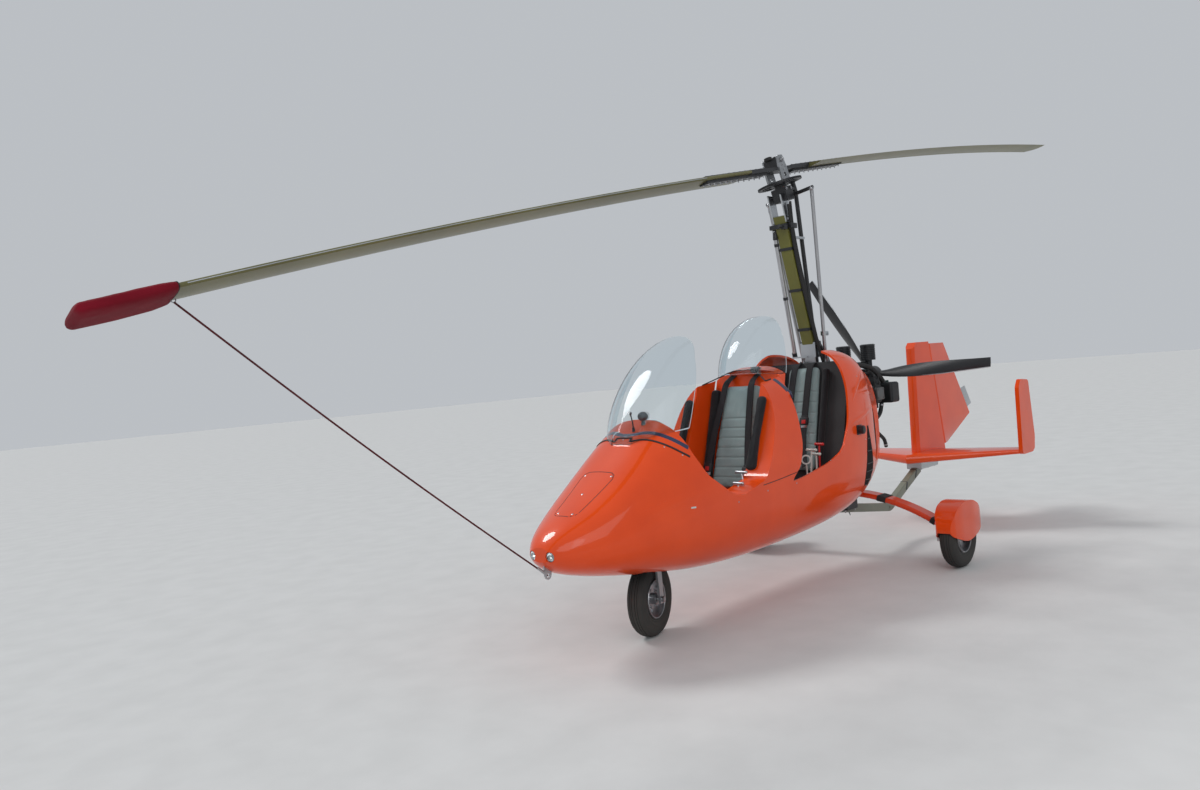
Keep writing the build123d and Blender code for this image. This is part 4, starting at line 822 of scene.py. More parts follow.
makePieces("rotor head and mast", {
    "headBolts": dict(finish="steel", once=armShapes, headSides=[
        (bolt, (0.03, 0.054, -0.135), (0, 1, 0), 0.0065), (bolt, (-0.03, 0.054, -0.135), (0, 1, 0), 0.0065),
    ], bothSides=[
        (bolt, (-0.028, 0.052, 2.321), (0, 1, 0), 0.011), (bolt, (-0.062, 0.052, 2.315), (0, 1, 0), 0.0055),
        (bolt, (0.005, 0.052, 2.46), (0, 1, 0), 0.0055)]),
    "mastClamps": dict(finish="blackMetal", once=[
        (box, (-0.05, 0.066, 2.276), (0.075, 0.02, 0.034), 0.004),
        (box, (0.03, 0.05, 2.262), (0.04, 0.028, 0.03), 0.005),
        (rod, (0.035, 0.045, 2.262), (0.075, 0.04, 2.27), 0.011), *mastBands,
        (box, (-0.262, 0.0, 1.50), (0.075, 0.118, 0.036), 0.005)]),
    "mastLinks": dict(finish="bareAlloy", once=[
        (box, (-0.158, 0.036, 2.205), (0.11, 0.026, 0.016), 0.003),
        (box, (-0.33, 0.072, 1.565), (0.085, 0.014, 0.03), 0.004),
        (bolt, (-0.30, 0.08, 1.568), (0, 1, 0), 0.007), (bolt, (-0.355, 0.08, 1.562), (0, 1, 0), 0.007),
    ], bothSides=[
        (rod, (-0.300, 0.083, 1.33), (-0.300, 0.083, 1.42), 0.0165), (ball, (-0.300, 0.083, 1.30), 0.019)]),
    **makeTubes(mastCables, 10, 14),
    "trimCylinderCaps": dict(finish="blackMetal", once=[
        (rod, (-0.017, -0.053, 2.20), (-0.03, -0.058, 2.262), 0.0165),
        (rod, (-0.205, -0.096, 1.45), (-0.218, -0.1, 1.424), 0.0165), *trimBands]),
})

# engine dressing: cylinder fins, covers, intake ribs, hoses, leads and bands
cylinders = dict(stations=(-0.60, -0.78), height=1.12, cover=0.205, screws=0.215, radius=0.07)
finRow = dict(count=9, start=0.118, step=0.0085, half=0.0014)
flange = dict(station=-1.028, height=1.18, circle=0.08, count=8)
intake = dict(station=-0.862, side=0.095, foot=1.37, step=0.0135, count=7, radius=0.0505, cap=1.458)
hoses = {
    "coolantHose": dict(radius=0.016, clipped=True, points=[
        (-0.53, 0.06, 1.29), (-0.60, 0.13, 1.33), (-0.74, 0.16, 1.31), (-0.86, 0.17, 1.24),
        (-0.94, 0.16, 1.185)]),
    "breatherHose": dict(radius=0.011, points=[
        (-0.50, -0.05, 1.30), (-0.62, -0.11, 1.36), (-0.78, -0.10, 1.34), (-0.84, -0.05, 1.27)]),
    "overflowHose": dict(radius=0.013, clipped=True, points=[
        (-0.70, 0.10, 0.94), (-0.80, 0.105, 0.90), (-0.93, 0.10, 0.82), (-1.0, 0.098, 0.775),
        (-1.03, 0.095, 0.72)]),
    "fuelHose": dict(radius=0.0075, points=[
        (-0.42, 0.14, 1.06), (-0.50, 0.17, 1.20), (-0.64, 0.16, 1.27), (-0.78, 0.13, 1.27),
        (-0.85, 0.10, 1.30)]),
    "returnHose": dict(radius=0.0075, points=[
        (-0.42, -0.14, 1.06), (-0.50, -0.17, 1.20), (-0.64, -0.16, 1.27), (-0.78, -0.13, 1.27),
        (-0.85, -0.10, 1.30)]),
    "radiatorHose": dict(radius=0.015, clipped=True, points=[
        (-0.93, 0.14, 1.06), (-0.90, 0.13, 0.97), (-0.80, 0.12, 0.93), (-0.66, 0.12, 0.98)]),
}
hoseClip = dict(fromEnd=3, half=0.005, wall=0.0016)
leads = dict(stations=(-0.57, -0.63, -0.75, -0.81), root=-0.66, radius=0.0042, boot=0.0085)
fins, coverShapes = [], []
for station in cylinders["stations"]:
    middle = cylinders["height"]
    coverShapes.append((box, (station, cylinders["cover"], middle), (0.1, 0.02, 0.085), 0.006))
    for dx in (-0.036, 0.036):
        for dz in (-0.03, 0.03):
            coverShapes.append((bolt, (station + dx, cylinders["screws"], middle + dz), (0, 1, 0), 0.005))
    for k in range(finRow["count"]):
        y = finRow["start"] + k * finRow["step"]
        fins.append((rod, (station, y - finRow["half"], middle), (station, y + finRow["half"], middle),
                     cylinders["radius"], None, 28))
flangeBolts = [(bolt, (flange["station"], across, flange["height"] + high), (-1, 0, 0), 0.005)
               for across, high in circleOf(flange["circle"], flange["count"])]
ribs = [(ring, (intake["station"], intake["side"], intake["foot"] + k * intake["step"]), (0, 0, 1),
         intake["radius"], circleOf(0.0028, 6), 36) for k in range(intake["count"])]
clips = []
for hose in hoses.values():
    path = smoothPath(hose["points"], 10)
    for k in (hoseClip["fromEnd"], len(path) - 1 - hoseClip["fromEnd"]) if "clipped" in hose else ():
        run = (path[k + 1] - path[k - 1]).normalized() * hoseClip["half"]
        clips.append((rod, path[k] - run, path[k] + run, hose["radius"] + hoseClip["wall"]))
leadShapes = []
for i, station in enumerate(leads["stations"]):
    root = leads["root"]
    route = [(root, 0.03, 1.29 + 0.004 * i), (root + 0.1 * (station - root), 0.10, 1.325),
             (station, 0.17, 1.27), (station, 0.19, 1.185)]
    leadShapes += [(tube, route, leads["radius"], 8, 8), (rod, (station, 0.19, 1.16), (station, 0.19, 1.2),
                                                          leads["boot"])]
makePieces("engine", {
    "cylinderFins": dict(finish="engineMetal", bothSides=fins),
    "engineCovers": dict(finish="castMetal", bothSides=coverShapes, once=[
        (box, (-0.69, 0, 1.262), (0.30, 0.11, 0.045), 0.012),
        (box, (-0.51, 0, 1.29), (0.075, 0.13, 0.09), 0.012),
        (rod, (-0.93, 0.055, 1.05), (-0.93, 0.055, 1.02), 0.04), *flangeBolts]),
    "intakeRibs": dict(finish="blackPlastic", bothSides=ribs + [
        (turned, [(0, 0.053), (0.008, 0.053), (0.014, 0.044), (0.014, 0)],
         (intake["station"], intake["side"], intake["cap"]), (0, 0, 1), 36)]),
    **makeTubes(hoses, 12, 10),
    "hoseClips": dict(finish="steel", once=clips),
    "sparkLeads": dict(finish="rubber", bothSides=leadShapes),
    "coolantTank": dict(finish="greenBox", once=[
        (box, (-0.962, 0.16, 1.1175), (0.12, 0.145, 0.14), 0.016),
        (rod, (-0.962, 0.16, 1.185), (-0.962, 0.16, 1.204), 0.024)]),
    "exhaustBands": dict(finish="steel", bothSides=[
        (ring, (-0.56, 0.12, 0.90), (0, 1, 0), 0.0555, bandOf(0.014, 0.0028), 40),
        (ring, (-0.60, 0.11, 0.98), (0, 0, 1), 0.0165, bandOf(0.01, 0.002), 24),
        (ring, (-0.60, 0.11, 1.04), (0, 0, 1), 0.0165, bandOf(0.01, 0.002), 24),
    ], once=[
        (turned, [(0, 0.018), (0.0, 0.021), (0.06, 0.021), (0.06, 0.018)], (-0.56, 0.15, 0.885),
         (-0.4, 0.6, -0.5), 24)]),
})

# propeller: pale strips on the leading edges, hub bolts and front plate. A row of a blade is its share of the
# radius, half its chord and its twist
prop = dict(middle=(-1.085, 0, 1.25), turn=2.0, blades=3, radius=0.865, strip=0.0026,
            rows=[(0.45, 0.049, 30), (0.6, 0.049, 24), (0.8, 0.041, 19.5), (0.99, 0.0335, 15)])
propHub = dict(front=-1.12, back=-1.05, height=1.25, circle=0.042, count=6)
edge = [(half * math.sin(math.radians(twist)), half * math.cos(math.radians(twist)), share * prop["radius"])
        for share, half, twist in prop["rows"]]
places["propBlades"] = [Matrix.Translation(prop["middle"]) @
                        Matrix.Rotation(math.radians(prop["turn"] - 90) + turn, 4, "X")
                        for turn in aroundClock(prop["blades"])]
hubShapes = []
for turn in aroundClock(propHub["count"], 0.25):
    across, high = propHub["circle"] * math.cos(turn), propHub["circle"] * math.sin(turn)
    for face, station in ((-1, propHub["front"]), (1, propHub["back"])):
        hubShapes.append((bolt, (station, across, propHub["height"] + high), (face, 0, 0), 0.0055))
hubShapes.append((turned, [(0, 0.055), (0.006, 0.055), (0.009, 0.05), (0.009, 0.018), (0.016, 0.014),
                           (0.016, 0)],
                  (propHub["front"], 0, propHub["height"]), (-1, 0, 0), 36))
makePieces("propeller", {
    "propEdgeStrips": dict(finish="bareAlloy", body="propeller",
                           propBlades=[(tube, edge, prop["strip"], 8, 10)]),
    "propHubPlate": dict(finish="bareAlloy", body="propeller", once=hubShapes),
})


# raised beads, rubber seams and stripes laid on the hull
def surfaceOf(*names):
    bm = bmesh.new()
    for name in names:
        bm.from_mesh(nodes[name].data)
    tree = BVHTree.FromBMesh(bm)
    bm.free()
    return tree


hullSkin = surfaceOf("hull_shell", "nose_hatch", "engine_cowl_left", "engine_cowl_right")
seatSkin = surfaceOf("front_seat_shell")
sideSkin = surfaceOf("hull_shell", "front_seat_shell")
hullCore = 0.8


def hitOf(start, direction, skin=hullSkin):
    place, normal, face, distance = skin.ray_cast(Vector(start), Vector(direction))
    return place, normal


def pathOn(skin, points, fromOutside=True):
    path, normals = [], []
    for point in smoothPath(points):
        inward = (Vector((point.x, 0, hullCore)) - point).normalized()
        place, normal = hitOf(point - inward * 0.12, inward, skin)
        if not fromOutside or place is None or (place - point).length > 0.05:
            place, normal, face, distance = skin.find_nearest(point)
        path.append(place)
        normals.append(-normal if normal.dot(inward) > 0 else normal)
    return path, [sum(normals[max(i - 2, 0):i + 3], Vector()).normalized() for i in range(len(normals))]


def flatOf(width, height, parts=6):
    half = width / 2
    row = [(-half + 0.0006 + (width - 0.0012) * k / parts, height) for k in range(parts + 1)]
    return [(-half, -0.0012), (-half, height * 0.5), *row, (half, height * 0.5), (half, -0.0012)]


def ridgeOf(width, height):
    half = width / 2
    return [(-half, -0.002), (-half, 0.0), (-half * 0.5, height * 0.7), (0, height),
            (half * 0.5, height * 0.7), (half, 0.0), (half, -0.002)]


def layBand(name, finish, points, section, skin=hullSkin, mirrored=True, fade=0.0):
    bm = bmesh.new()
    runs = [points, [(x, -y, z) for x, y, z in reversed(points)]] if mirrored else [points]
    for run in runs:
        path, normals = pathOn(skin, run)
        last = len(path) - 1
        for i in range(len(path)):
            share = min(i, last - i) / max(1, last * 0.35)
            path[i] = path[i] - normals[i] * fade * max(0.0, 1 - share) ** 1.5
        sweep(bm, path, section, normals)
    addPiece(bm, name, finish, crease=50)


seamHalf = [(1.524, 0.324, 0.956), (1.572, 0.289, 0.993), (1.615, 0.221, 1.032), (1.646, 0.130, 1.079),
            (1.672, 0.055, 1.102)]
seamPoints = seamHalf + [(1.678, 0, 1.108)] + [(x, -y, z) for x, y, z in reversed(seamHalf)]
stripePoints = [(x - 0.046, y * 0.96, z + 0.012) for x, y, z in seamPoints]
layBand("screenSeam", "rubber", seamPoints, flatOf(0.010, 0.0034), mirrored=False)
layBand("hoodStripe", "navyStripe", stripePoints, flatOf(0.024, 0.0007), mirrored=False)

hatchSeam = dict(front=2.1355, rear=1.849, frontHalf=0.0755, rearHalf=0.1155, corner=0.034, cut=0.3,
                 width=0.0034, height=0.0006, steps=8)
above, down = 2, (0, 0, -1)
corners = [Vector((hatchSeam["rear"], -hatchSeam["rearHalf"])),
           Vector((hatchSeam["front"], -hatchSeam["frontHalf"])),
           Vector((hatchSeam["front"], hatchSeam["frontHalf"])),
           Vector((hatchSeam["rear"], hatchSeam["rearHalf"]))]
hatchPoints = []
for k, spot in enumerate(corners):
    near = (corners[k - 1] - spot).normalized() * hatchSeam["corner"]
    far = (corners[(k + 1) % 4] - spot).normalized() * hatchSeam["corner"]
    hatchPoints += [spot + near, spot + (near + far) * hatchSeam["cut"], spot + far]
path, normals = [], []
for start, end in zip(hatchPoints, hatchPoints[1:] + hatchPoints[:1]):
    for k in range(hatchSeam["steps"]):
        spot = start.lerp(end, k / hatchSeam["steps"])
        place, normal = hitOf((spot.x, spot.y, above), down)
        path.append(place)
        normals.append(normal)
count = len(normals)
normals = [(normals[k - 1] + normals[k] + normals[(k + 1) % count]).normalized() for k in range(count)]
makePiece("hatchSeam", "rubber", once=[(sweep, path, flatOf(hatchSeam["width"], hatchSeam["height"]),
                                        normals, True)])

sideBands = {
    "sideCrease": dict(finish="hullPaint", section=ridgeOf(0.05, 0.0024), fade=0.003, points=[
        (2.02, 0.262, 0.672), (1.90, 0.296, 0.706), (1.78, 0.322, 0.735), (1.667, 0.342, 0.757),
        (1.57, 0.356, 0.766), (1.484, 0.367, 0.768)]),
    "cowlCreaseUpper": dict(finish="hullPaint", section=ridgeOf(0.03, 0.0034), fade=0.004, points=[
        (-0.06, 0.382, 1.10), (-0.117, 0.372, 1.163), (-0.25, 0.33, 1.245), (-0.363, 0.292, 1.313)]),
    "cowlCreaseRear": dict(finish="hullPaint", section=ridgeOf(0.03, 0.003), fade=0.0035, points=[
        (-0.14, 0.37, 1.15), (-0.30, 0.34, 1.143), (-0.45, 0.30, 1.141), (-0.579, 0.257, 1.141)]),
    "cowlCreaseLower": dict(finish="hullPaint", section=ridgeOf(0.03, 0.003), fade=0.0035, points=[
        (0.03, 0.392, 0.955), (-0.06, 0.388, 0.985), (-0.15, 0.38, 1.0), (-0.30, 0.35, 1.03),
        (-0.459, 0.312, 1.061)]),
    "sideReflectors": dict(finish="whitePlastic", section=flatOf(0.009, 0.0022), points=[
        (1.592, 0.359, 0.709), (1.575, 0.361, 0.708), (1.558, 0.362, 0.707)]),
    "rearScreenStripe": dict(finish="navyStripe", section=flatOf(0.034, 0.0007), skin=seatSkin, points=[
        (0.575, 0.236, 1.302), (0.56, 0.28, 1.262), (0.545, 0.305, 1.225), (0.535, 0.325, 1.18)]),
    "seatRimTrim": dict(finish="rubber", section=flatOf(0.012, 0.003), skin=seatSkin, mirrored=False, points=[
        (0.600, 0.214, 1.322), (0.64, 0.18, 1.345), (0.662, 0.12, 1.366), (0.676, 0.04, 1.374),
        (0.676, -0.04, 1.374), (0.662, -0.12, 1.366), (0.64, -0.18, 1.345), (0.600, -0.214, 1.322)]),
    "sillJoint": dict(finish="rubber", section=flatOf(0.004, 0.0012), skin=sideSkin, points=[
        (0.62, 0.391, 0.764), (0.70, 0.392, 0.757), (0.80, 0.392, 0.748), (0.90, 0.392, 0.741),
        (0.988, 0.390, 0.736)]),
}
for name, band in sideBands.items():
    layBand(name, **band)

# screws along the screen's seam, in the hatch and on the sides
seamScrews = dict(steps=(4, 14, 24, 33, 40, 47, 56, 66, 76), shift=(0.0115, 0, -0.004), radius=0.0042)
hatchScrews = dict(spots=[(1.868, 0.093), (1.868, -0.093), (2.116, 0.05), (2.116, -0.05), (1.99, 0.0)],
                   radius=0.0062)
sideScrews = dict(radius=0.0045, spots=[
    (0.268, 0.392, 0.79), (-0.20, 0.37, 1.27), (-0.20, 0.388, 0.86), (-0.20, 0.34, 0.66), (0.95, 0.392, 0.70),
    (0.66, 0.394, 0.70), (1.22, 0.385, 0.68)])
screws = []
path, normals = pathOn(hullSkin, seamPoints, fromOutside=False)
for k in seamScrews["steps"]:
    place, normal, face, distance = hullSkin.find_nearest(path[k] + Vector(seamScrews["shift"]))
    screws.append((screw, place, normals[k], seamScrews["radius"]))
for x, y in hatchScrews["spots"]:
    place, normal = hitOf((x, y, above), down)
    screws.append((screw, place, normal, hatchScrews["radius"]))
for x, y, z in sideScrews["spots"]:
    for side in (1, -1):
        place, normal, face, distance = hullSkin.find_nearest(Vector((x, side * y, z)))
        screws.append((screw, place, normal if normal.y * side > 0 else -normal, sideScrews["radius"]))
capCentre = dict(x=-0.105, z=0.93)
makePieces("hull screws and fuel cap", {
    "hullScrews": dict(finish="steel", once=screws),
    "fuelCapRim": dict(finish="blackPlastic", once=[
        (box, (capCentre["x"], 0.3935, capCentre["z"]), (0.062, 0.006, 0.062), 0.0025),
        (turned, [(0, 0.021), (0.004, 0.021), (0.005, 0.017), (0.005, 0)],
         (capCentre["x"], 0.425, capCentre["z"]), (0, 1, 0), 32),
        (ring, (capCentre["x"], 0.418, capCentre["z"]), (0, 1, 0), 0.026, circleOf(0.0022, 6), 40)]),
})

# landing lights sunk in the nose, tilted from the skin around them towards the front
landingLamp = dict(height=0.577, side=0.06, probe=0.029, sunk=0.004, ahead=1.6)
bowl = [(-0.021, 0), (-0.0205, 0.006), (-0.016, 0.012), (-0.008, 0.0175), (0.0, 0.0198), (0.0, 0.0212),
        (-0.022, 0.0212), (-0.022, 0)]
lens = [(0.0, 0.0203), (0.0026, 0.0200), (0.0052, 0.014), (0.006, 0), (0.004, 0), (0.0034, 0.013),
        (0.0006, 0.0196)]
lampShapes = {"lampBowls": [], "lampBulbs": [], "lampLenses": [], "lampRims": []}
for side in (1, -1):
    middle, axis = Vector(), Vector()
    for across, high in circleOf(landingLamp["probe"], 8):
        place, normal = hitOf((2.5, side * landingLamp["side"] + across, landingLamp["height"] + high),
                              (-1, 0, 0))
        middle += place / 8
        axis += normal if normal.x > 0 else -normal
    axis = (axis.normalized() + Vector((landingLamp["ahead"], 0, 0))).normalized()
    middle -= axis * landingLamp["sunk"]
    lampShapes["lampBowls"].append((turned, bowl, middle, axis))
    lampShapes["lampBulbs"].append((ball, middle - axis * 0.0125, 0.0062))
    lampShapes["lampLenses"].append((turned, lens, middle, axis))
    lampShapes["lampRims"].append((ring, middle + axis * 0.0012, axis, 0.0215, circleOf(0.0018, 10), 48))
lampBowls = makePiece("lampBowls", "lampMirror", once=lampShapes["lampBowls"])
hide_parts("nose_lights")
makePiece("lampBulbs", "whitePlastic", once=lampShapes["lampBulbs"])
makePiece("lampLenses", "lampGlass", once=lampShapes["lampLenses"])
makePiece("lampRims", "steel", once=lampShapes["lampRims"])

# painted shade: a flat dark sheet laid low on each side of the hull where the air slot's shade falls, with
# bars across it, and a dark sheet of painted shade set behind the outlet in each cowl. A row of the slot is
# the station and height of its rear end, then of its front end
slotShadeLeaf = dict(lift=0.0012, columns=6, bar=0.003, thick=0.004, rows=[
    (-0.262, 0.940, -0.240, 0.940), (-0.285, 0.86, -0.222, 0.86), (-0.305, 0.78, -0.206, 0.78),
    (-0.322, 0.70, -0.190, 0.70), (-0.327, 0.65, -0.180, 0.65), (-0.312, 0.59, -0.178, 0.60),
    (-0.272, 0.553, -0.188, 0.566)])
outlet = dict(station=-0.43, centre=0.9, high=0.26, half=0.035, lap=0.009, lift=-0.0035, columns=1,
              thick=0.003, steps=12, evened=True)
outlet["rows"] = []
for k in range(outlet["steps"] + 1):
    rise = (2 * k / outlet["steps"] - 1) * (outlet["high"] + outlet["lap"])
    reach = outlet["half"] * max(0.0, 1 - abs(rise) / outlet["high"]) + outlet["lap"]
    height = outlet["centre"] + rise
    outlet["rows"].append((outlet["station"] - reach, height, outlet["station"] + reach, height))


def makeLeaf(name, leaf):
    bm = bmesh.new()
    grids = []
    for side in (1, -1):
        grid = []
        for x0, z0, x1, z1 in leaf["rows"]:
            row = []
            for k in range(leaf["columns"] + 1):
                share = k / leaf["columns"]
                place, normal = hitOf((x0 + (x1 - x0) * share, side * 0.7, z0 + (z1 - z0) * share),
                                      (0, -side, 0))
                row.append(place + Vector((0, side * leaf["lift"], 0)))
            grid.append(row)
        grids.append(grid)
        corners = [[bm.verts.new(place) for place in row] for row in grid]
        for near, far in zip(corners, corners[1:]):
            for k in range(leaf["columns"]):
                bm.faces.new((near[k], near[k + 1], far[k + 1], far[k]))
    if "evened" in leaf:
        bmesh.ops.recalc_face_normals(bm, faces=bm.faces)
    bmesh.ops.solidify(bm, geom=bm.faces[:], thickness=leaf["thick"])
    addPiece(bm, name, "rubber")
    return grids


# painted shade: a flat dark sheet on each side of the hull where the air slot's shade falls
slotShadeGrids = makeLeaf("sideSlotShade", slotShadeLeaf)
makePiece("sideSlotBars", "blackPlastic", once=[
    (sweep, [row[0], row[slotShadeLeaf["columns"] // 2], row[-1]], circleOf(slotShadeLeaf["bar"], 8))
    for grid in slotShadeGrids for row in grid])
# painted shade: a dark sheet set just behind each cowl outlet
makeLeaf("cowlOutletShade", outlet)
print("hull details ready")

# instrument panel, seen from the seats, in the panel's own frame: X across, Y up the panel, Z out of it.
# A gauge is its place across, its height and its radius
panel = dict(foot=(1.5795, 0, 0.758), up=(-0.1961, 0, 0.9806), out=(-0.9806, 0, -0.1961))
gauges = [(-0.095, 0.26, 0.040), (0.095, 0.26, 0.040), (0.0, 0.275, 0.031), (-0.19, 0.225, 0.029),
          (0.19, 0.225, 0.029), (0.0, 0.195, 0.029), (-0.19, 0.15, 0.026), (0.19, 0.15, 0.026)]
dial = dict(marks=12, first=-140, sweep=280, handFirst=-120, handStep=37)
knobRow = dict(count=8, half=0.2, gap=0.09, height=0.085)
panelScrews = [(-0.25, 0.27), (0.25, 0.27), (-0.25, 0.05), (0.25, 0.05), (0, 0.33), (0, 0.03)]
panelUp, panelOut = Vector(panel["up"]), Vector(panel["out"])
panelAxes = Matrix((Vector((0, 1, 0)), panelUp, panelOut)).transposed().to_4x4()
places["panel"] = [Matrix.Translation(panel["foot"]) @ panelAxes]
towards = Vector((0, 0, 1))
dials = {"gaugeRims": [], "gaugeFaces": [], "gaugeMarks": [], "gaugeHands": [], "gaugeGlass": []}
for i, (across, high, radius) in enumerate(gauges):
    middle = Vector((across, high, 0))
    inner = radius - 0.002
    rim = [(0, radius + 0.004), (0.006, radius + 0.004), (0.008, radius + 0.001), (0.006, inner),
           (0.002, inner), (0, inner)]
    glass = [(0.0048, inner), (0.0058, inner), (0.0058, 0.0), (0.0048, 0.0)]
    dials["gaugeRims"].append((turned, rim, middle, towards, 36, True))
    dials["gaugeFaces"].append((rod, middle - towards * 0.001, middle + towards * 0.0016, radius - 0.001,
                                None, 36))
    dials["gaugeGlass"].append((turned, glass, middle, towards, 36))
    for k in range(dial["marks"]):
        turn = math.radians(dial["first"] + dial["sweep"] * k / (dial["marks"] - 1))
        mark = Vector((math.sin(turn), math.cos(turn), 0)) * radius * 0.78 + towards * 0.0018
        dials["gaugeMarks"].append((box, middle + mark, (0.0012, radius * 0.2, 0.0006), 0.0002,
                                    Matrix.Rotation(turn, 4, "Z")))
    turn = math.radians(dial["handFirst"] + dial["handStep"] * i)
    step = Vector((math.sin(turn), math.cos(turn), 0)) * radius
    centre = middle + towards * 0.0026
    dials["gaugeHands"] += [(rod, centre - step * 0.15, centre + step * 0.68, 0.0013, 0.0006, 8),
                            (rod, middle + towards * 0.001, middle + towards * 0.0038, 0.0035, None, 16)]
sockets, knobs = [], []
for k in range(knobRow["count"]):
    across = knobRow["half"] * (2 * k / (knobRow["count"] - 1) - 1)
    if abs(across) > knobRow["gap"]:
        foot = (across, knobRow["height"])
        sockets.append((rod, (*foot, 0), (*foot, 0.006), 0.007, None, 16))
        knobs.append((rod, (*foot, 0.004), (across, knobRow["height"] + 0.007, 0.02), 0.0028, 0.0036, 12))
for across in (-0.068, 0.068):
    for high in (0.115, 0.065):
        knobs.append((rod, (across, high, 0.008), (across, high, 0.019), 0.0075, None, 20))
knobs += [(screw, (across, high, 0), towards, 0.004) for across, high in panelScrews]
makePieces("panel", {
    "gaugeRims": dict(finish="blackPlastic", panel=dials["gaugeRims"]),
    "gaugeFaces": dict(finish="panelPlastic", panel=dials["gaugeFaces"]),
    "gaugeMarks": dict(finish="whitePlastic", panel=dials["gaugeMarks"]),
    "gaugeHands": dict(finish="redPlastic", panel=dials["gaugeHands"]),
    "gaugeGlass": dict(finish="lampGlass", panel=dials["gaugeGlass"]),
    "panelBoxes": dict(finish="blackPlastic", panel=sockets + [
        (box, (0, 0.115, 0.004), (0.16, 0.045, 0.012), 0.003),
        (box, (0, 0.065, 0.004), (0.16, 0.034, 0.012), 0.003)]),
    "panelKnobs": dict(finish="steel", panel=knobs),
})

# controls: grips, boots, lever quadrants, coloured handles and pedal treads
sticks = [dict(station=1.27, foot=0.41, top=0.82), dict(station=0.44, foot=0.41, top=0.83)]
bootFolds = [(0.001, 0.062), (0.008, 0.060), (0.014, 0.050), (0.022, 0.053), (0.03, 0.042), (0.038, 0.045),
             (0.046, 0.034), (0.054, 0.037), (0.062, 0.026), (0.075, 0.02), (0.09, 0.0135)]
grip = dict(back=0.04, length=0.14, lean=-0.008, rings=4, first=0.028, step=0.027, radius=0.0195)
gripKnob = [(0, 0.021), (0.006, 0.024), (0.026, 0.024), (0.036, 0.018), (0.04, 0)]
gripAxis = Vector((grip["lean"], 0, grip["length"])).normalized()
quadrants = [Vector((1.27, 0.19, 0.46)), Vector((0.52, 0.12, 0.46))]
leverHub = [(-0.004, 0.006), (0, 0.0125), (0.006, 0.0125), (0.009, 0.006), (0.009, 0)]
sideLevers = {
    "frontTrimLever": dict(finish="bareAlloy", foot=(1.10, 0.285, 0.60), head=(1.055, 0.272, 0.752),
                           cross=0.04),
    "frontBrakeLever": dict(finish="bareAlloy", foot=(1.00, 0.285, 0.62), head=(0.955, 0.225, 0.80),
                            cross=0.046),
    "rearThrottleLever": dict(finish="whitePlastic", foot=(0.30, 0.262, 0.60), head=(0.262, 0.262, 0.845),
                              cross=0.04),
    "rearTrimLever": dict(finish="whitePlastic", foot=(0.24, 0.270, 0.60), head=(0.225, 0.270, 0.815),
                          cross=0.034),
    "rearStopLever": dict(finish="redPlastic", foot=(0.19, 0.262, 0.60), head=(0.185, 0.272, 0.872),
                          cross=0.034),
}
treads = dict(face=1.8535, side=0.10, foot=0.556, step=0.014, count=7, size=(0.004, 0.076, 0.007))
boots, buttons, plates, plateBolts = [], [], [], []
for stick in sticks:
    station, top = stick["station"], stick["top"]
    foot = Vector((station - grip["back"], 0, top - grip["length"]))
    boots.append((turned, bootFolds, (station, 0, stick["foot"]), (-0.1, 0, 1)))
    boots.append((turned, gripKnob, foot + gripAxis * 0.132, gripAxis, 28))
    for k in range(grip["rings"]):
        spot = foot + gripAxis * (grip["first"] + grip["step"] * k)
        boots.append((ring, spot, gripAxis, grip["radius"], circleOf(0.0032, 8), 28))
    buttons.append((rod, (station - 0.066, 0.008, top + 0.018), (station - 0.073, 0.008, top + 0.02), 0.005))
for centre in quadrants:
    for side in (1, -1):
        out = Vector((0, side, 0))
        plates += [(rod, centre + out * 0.0215, centre + out * 0.0255, 0.055, None, 36),
                   (turned, leverHub, centre + out * 0.045 + Vector((-0.02, 0, 0.24)), out, 20)]
        plateBolts.append((bolt, centre + out * 0.0255, out, 0.007))
levers = {}
for name, lever in sideLevers.items():
    foot, head = Vector(lever["foot"]), Vector(lever["head"])
    reach = lever["cross"] * 0.8
    end = Vector((0.006, reach, 0))
    levers[name] = dict(finish=lever["finish"], once=[
        (rod, foot, head, 0.0065, 0.0052), (rod, head - end, head + end, 0.0085), (ball, head - end, 0.0098),
        (ball, head + end, 0.0098)])
treadShapes = [(box, (treads["face"], treads["side"], treads["foot"] + treads["step"] * k), treads["size"],
                0.0015)
               for k in range(treads["count"])]
pedalCable = [(1.85, 0.14, 0.52), (1.75, 0.19, 0.47), (1.60, 0.205, 0.43), (1.3, 0.22, 0.425)]
makePieces("controls", {
    "stickBoots": dict(finish="rubber", once=boots),
    "stickButtons": dict(finish="redPlastic", bothSides=buttons),
    "leverQuadrants": dict(finish="bareAlloy", once=plates),
    "leverBolts": dict(finish="steel", once=plateBolts),
    **levers,
    "leverBoxes": dict(finish="blackPlastic", once=[
        (box, (1.04, 0.29, 0.60), (0.17, 0.04, 0.05), 0.008),
        (box, (0.245, 0.266, 0.60), (0.17, 0.045, 0.05), 0.008)]),
    "rearPullRing": dict(finish="whitePlastic", once=[
        (turned, [(-0.005, 0.021), (0.005, 0.021), (0.005, 0.03), (-0.005, 0.03)], (0.305, 0.245, 0.79),
         (1, 0.6, 0.2), 32, True), (rod, (0.305, 0.245, 0.762), (0.31, 0.25, 0.62), 0.005)]),
    "pedalTreads": dict(finish="rubber", bothSides=treadShapes + [
        (box, (1.8455, treads["side"], 0.655), (0.03, 0.07, 0.008))]),
    "pedalCables": dict(finish="steel", bothSides=[(tube, pedalCable, 0.0035, 8)]),
})

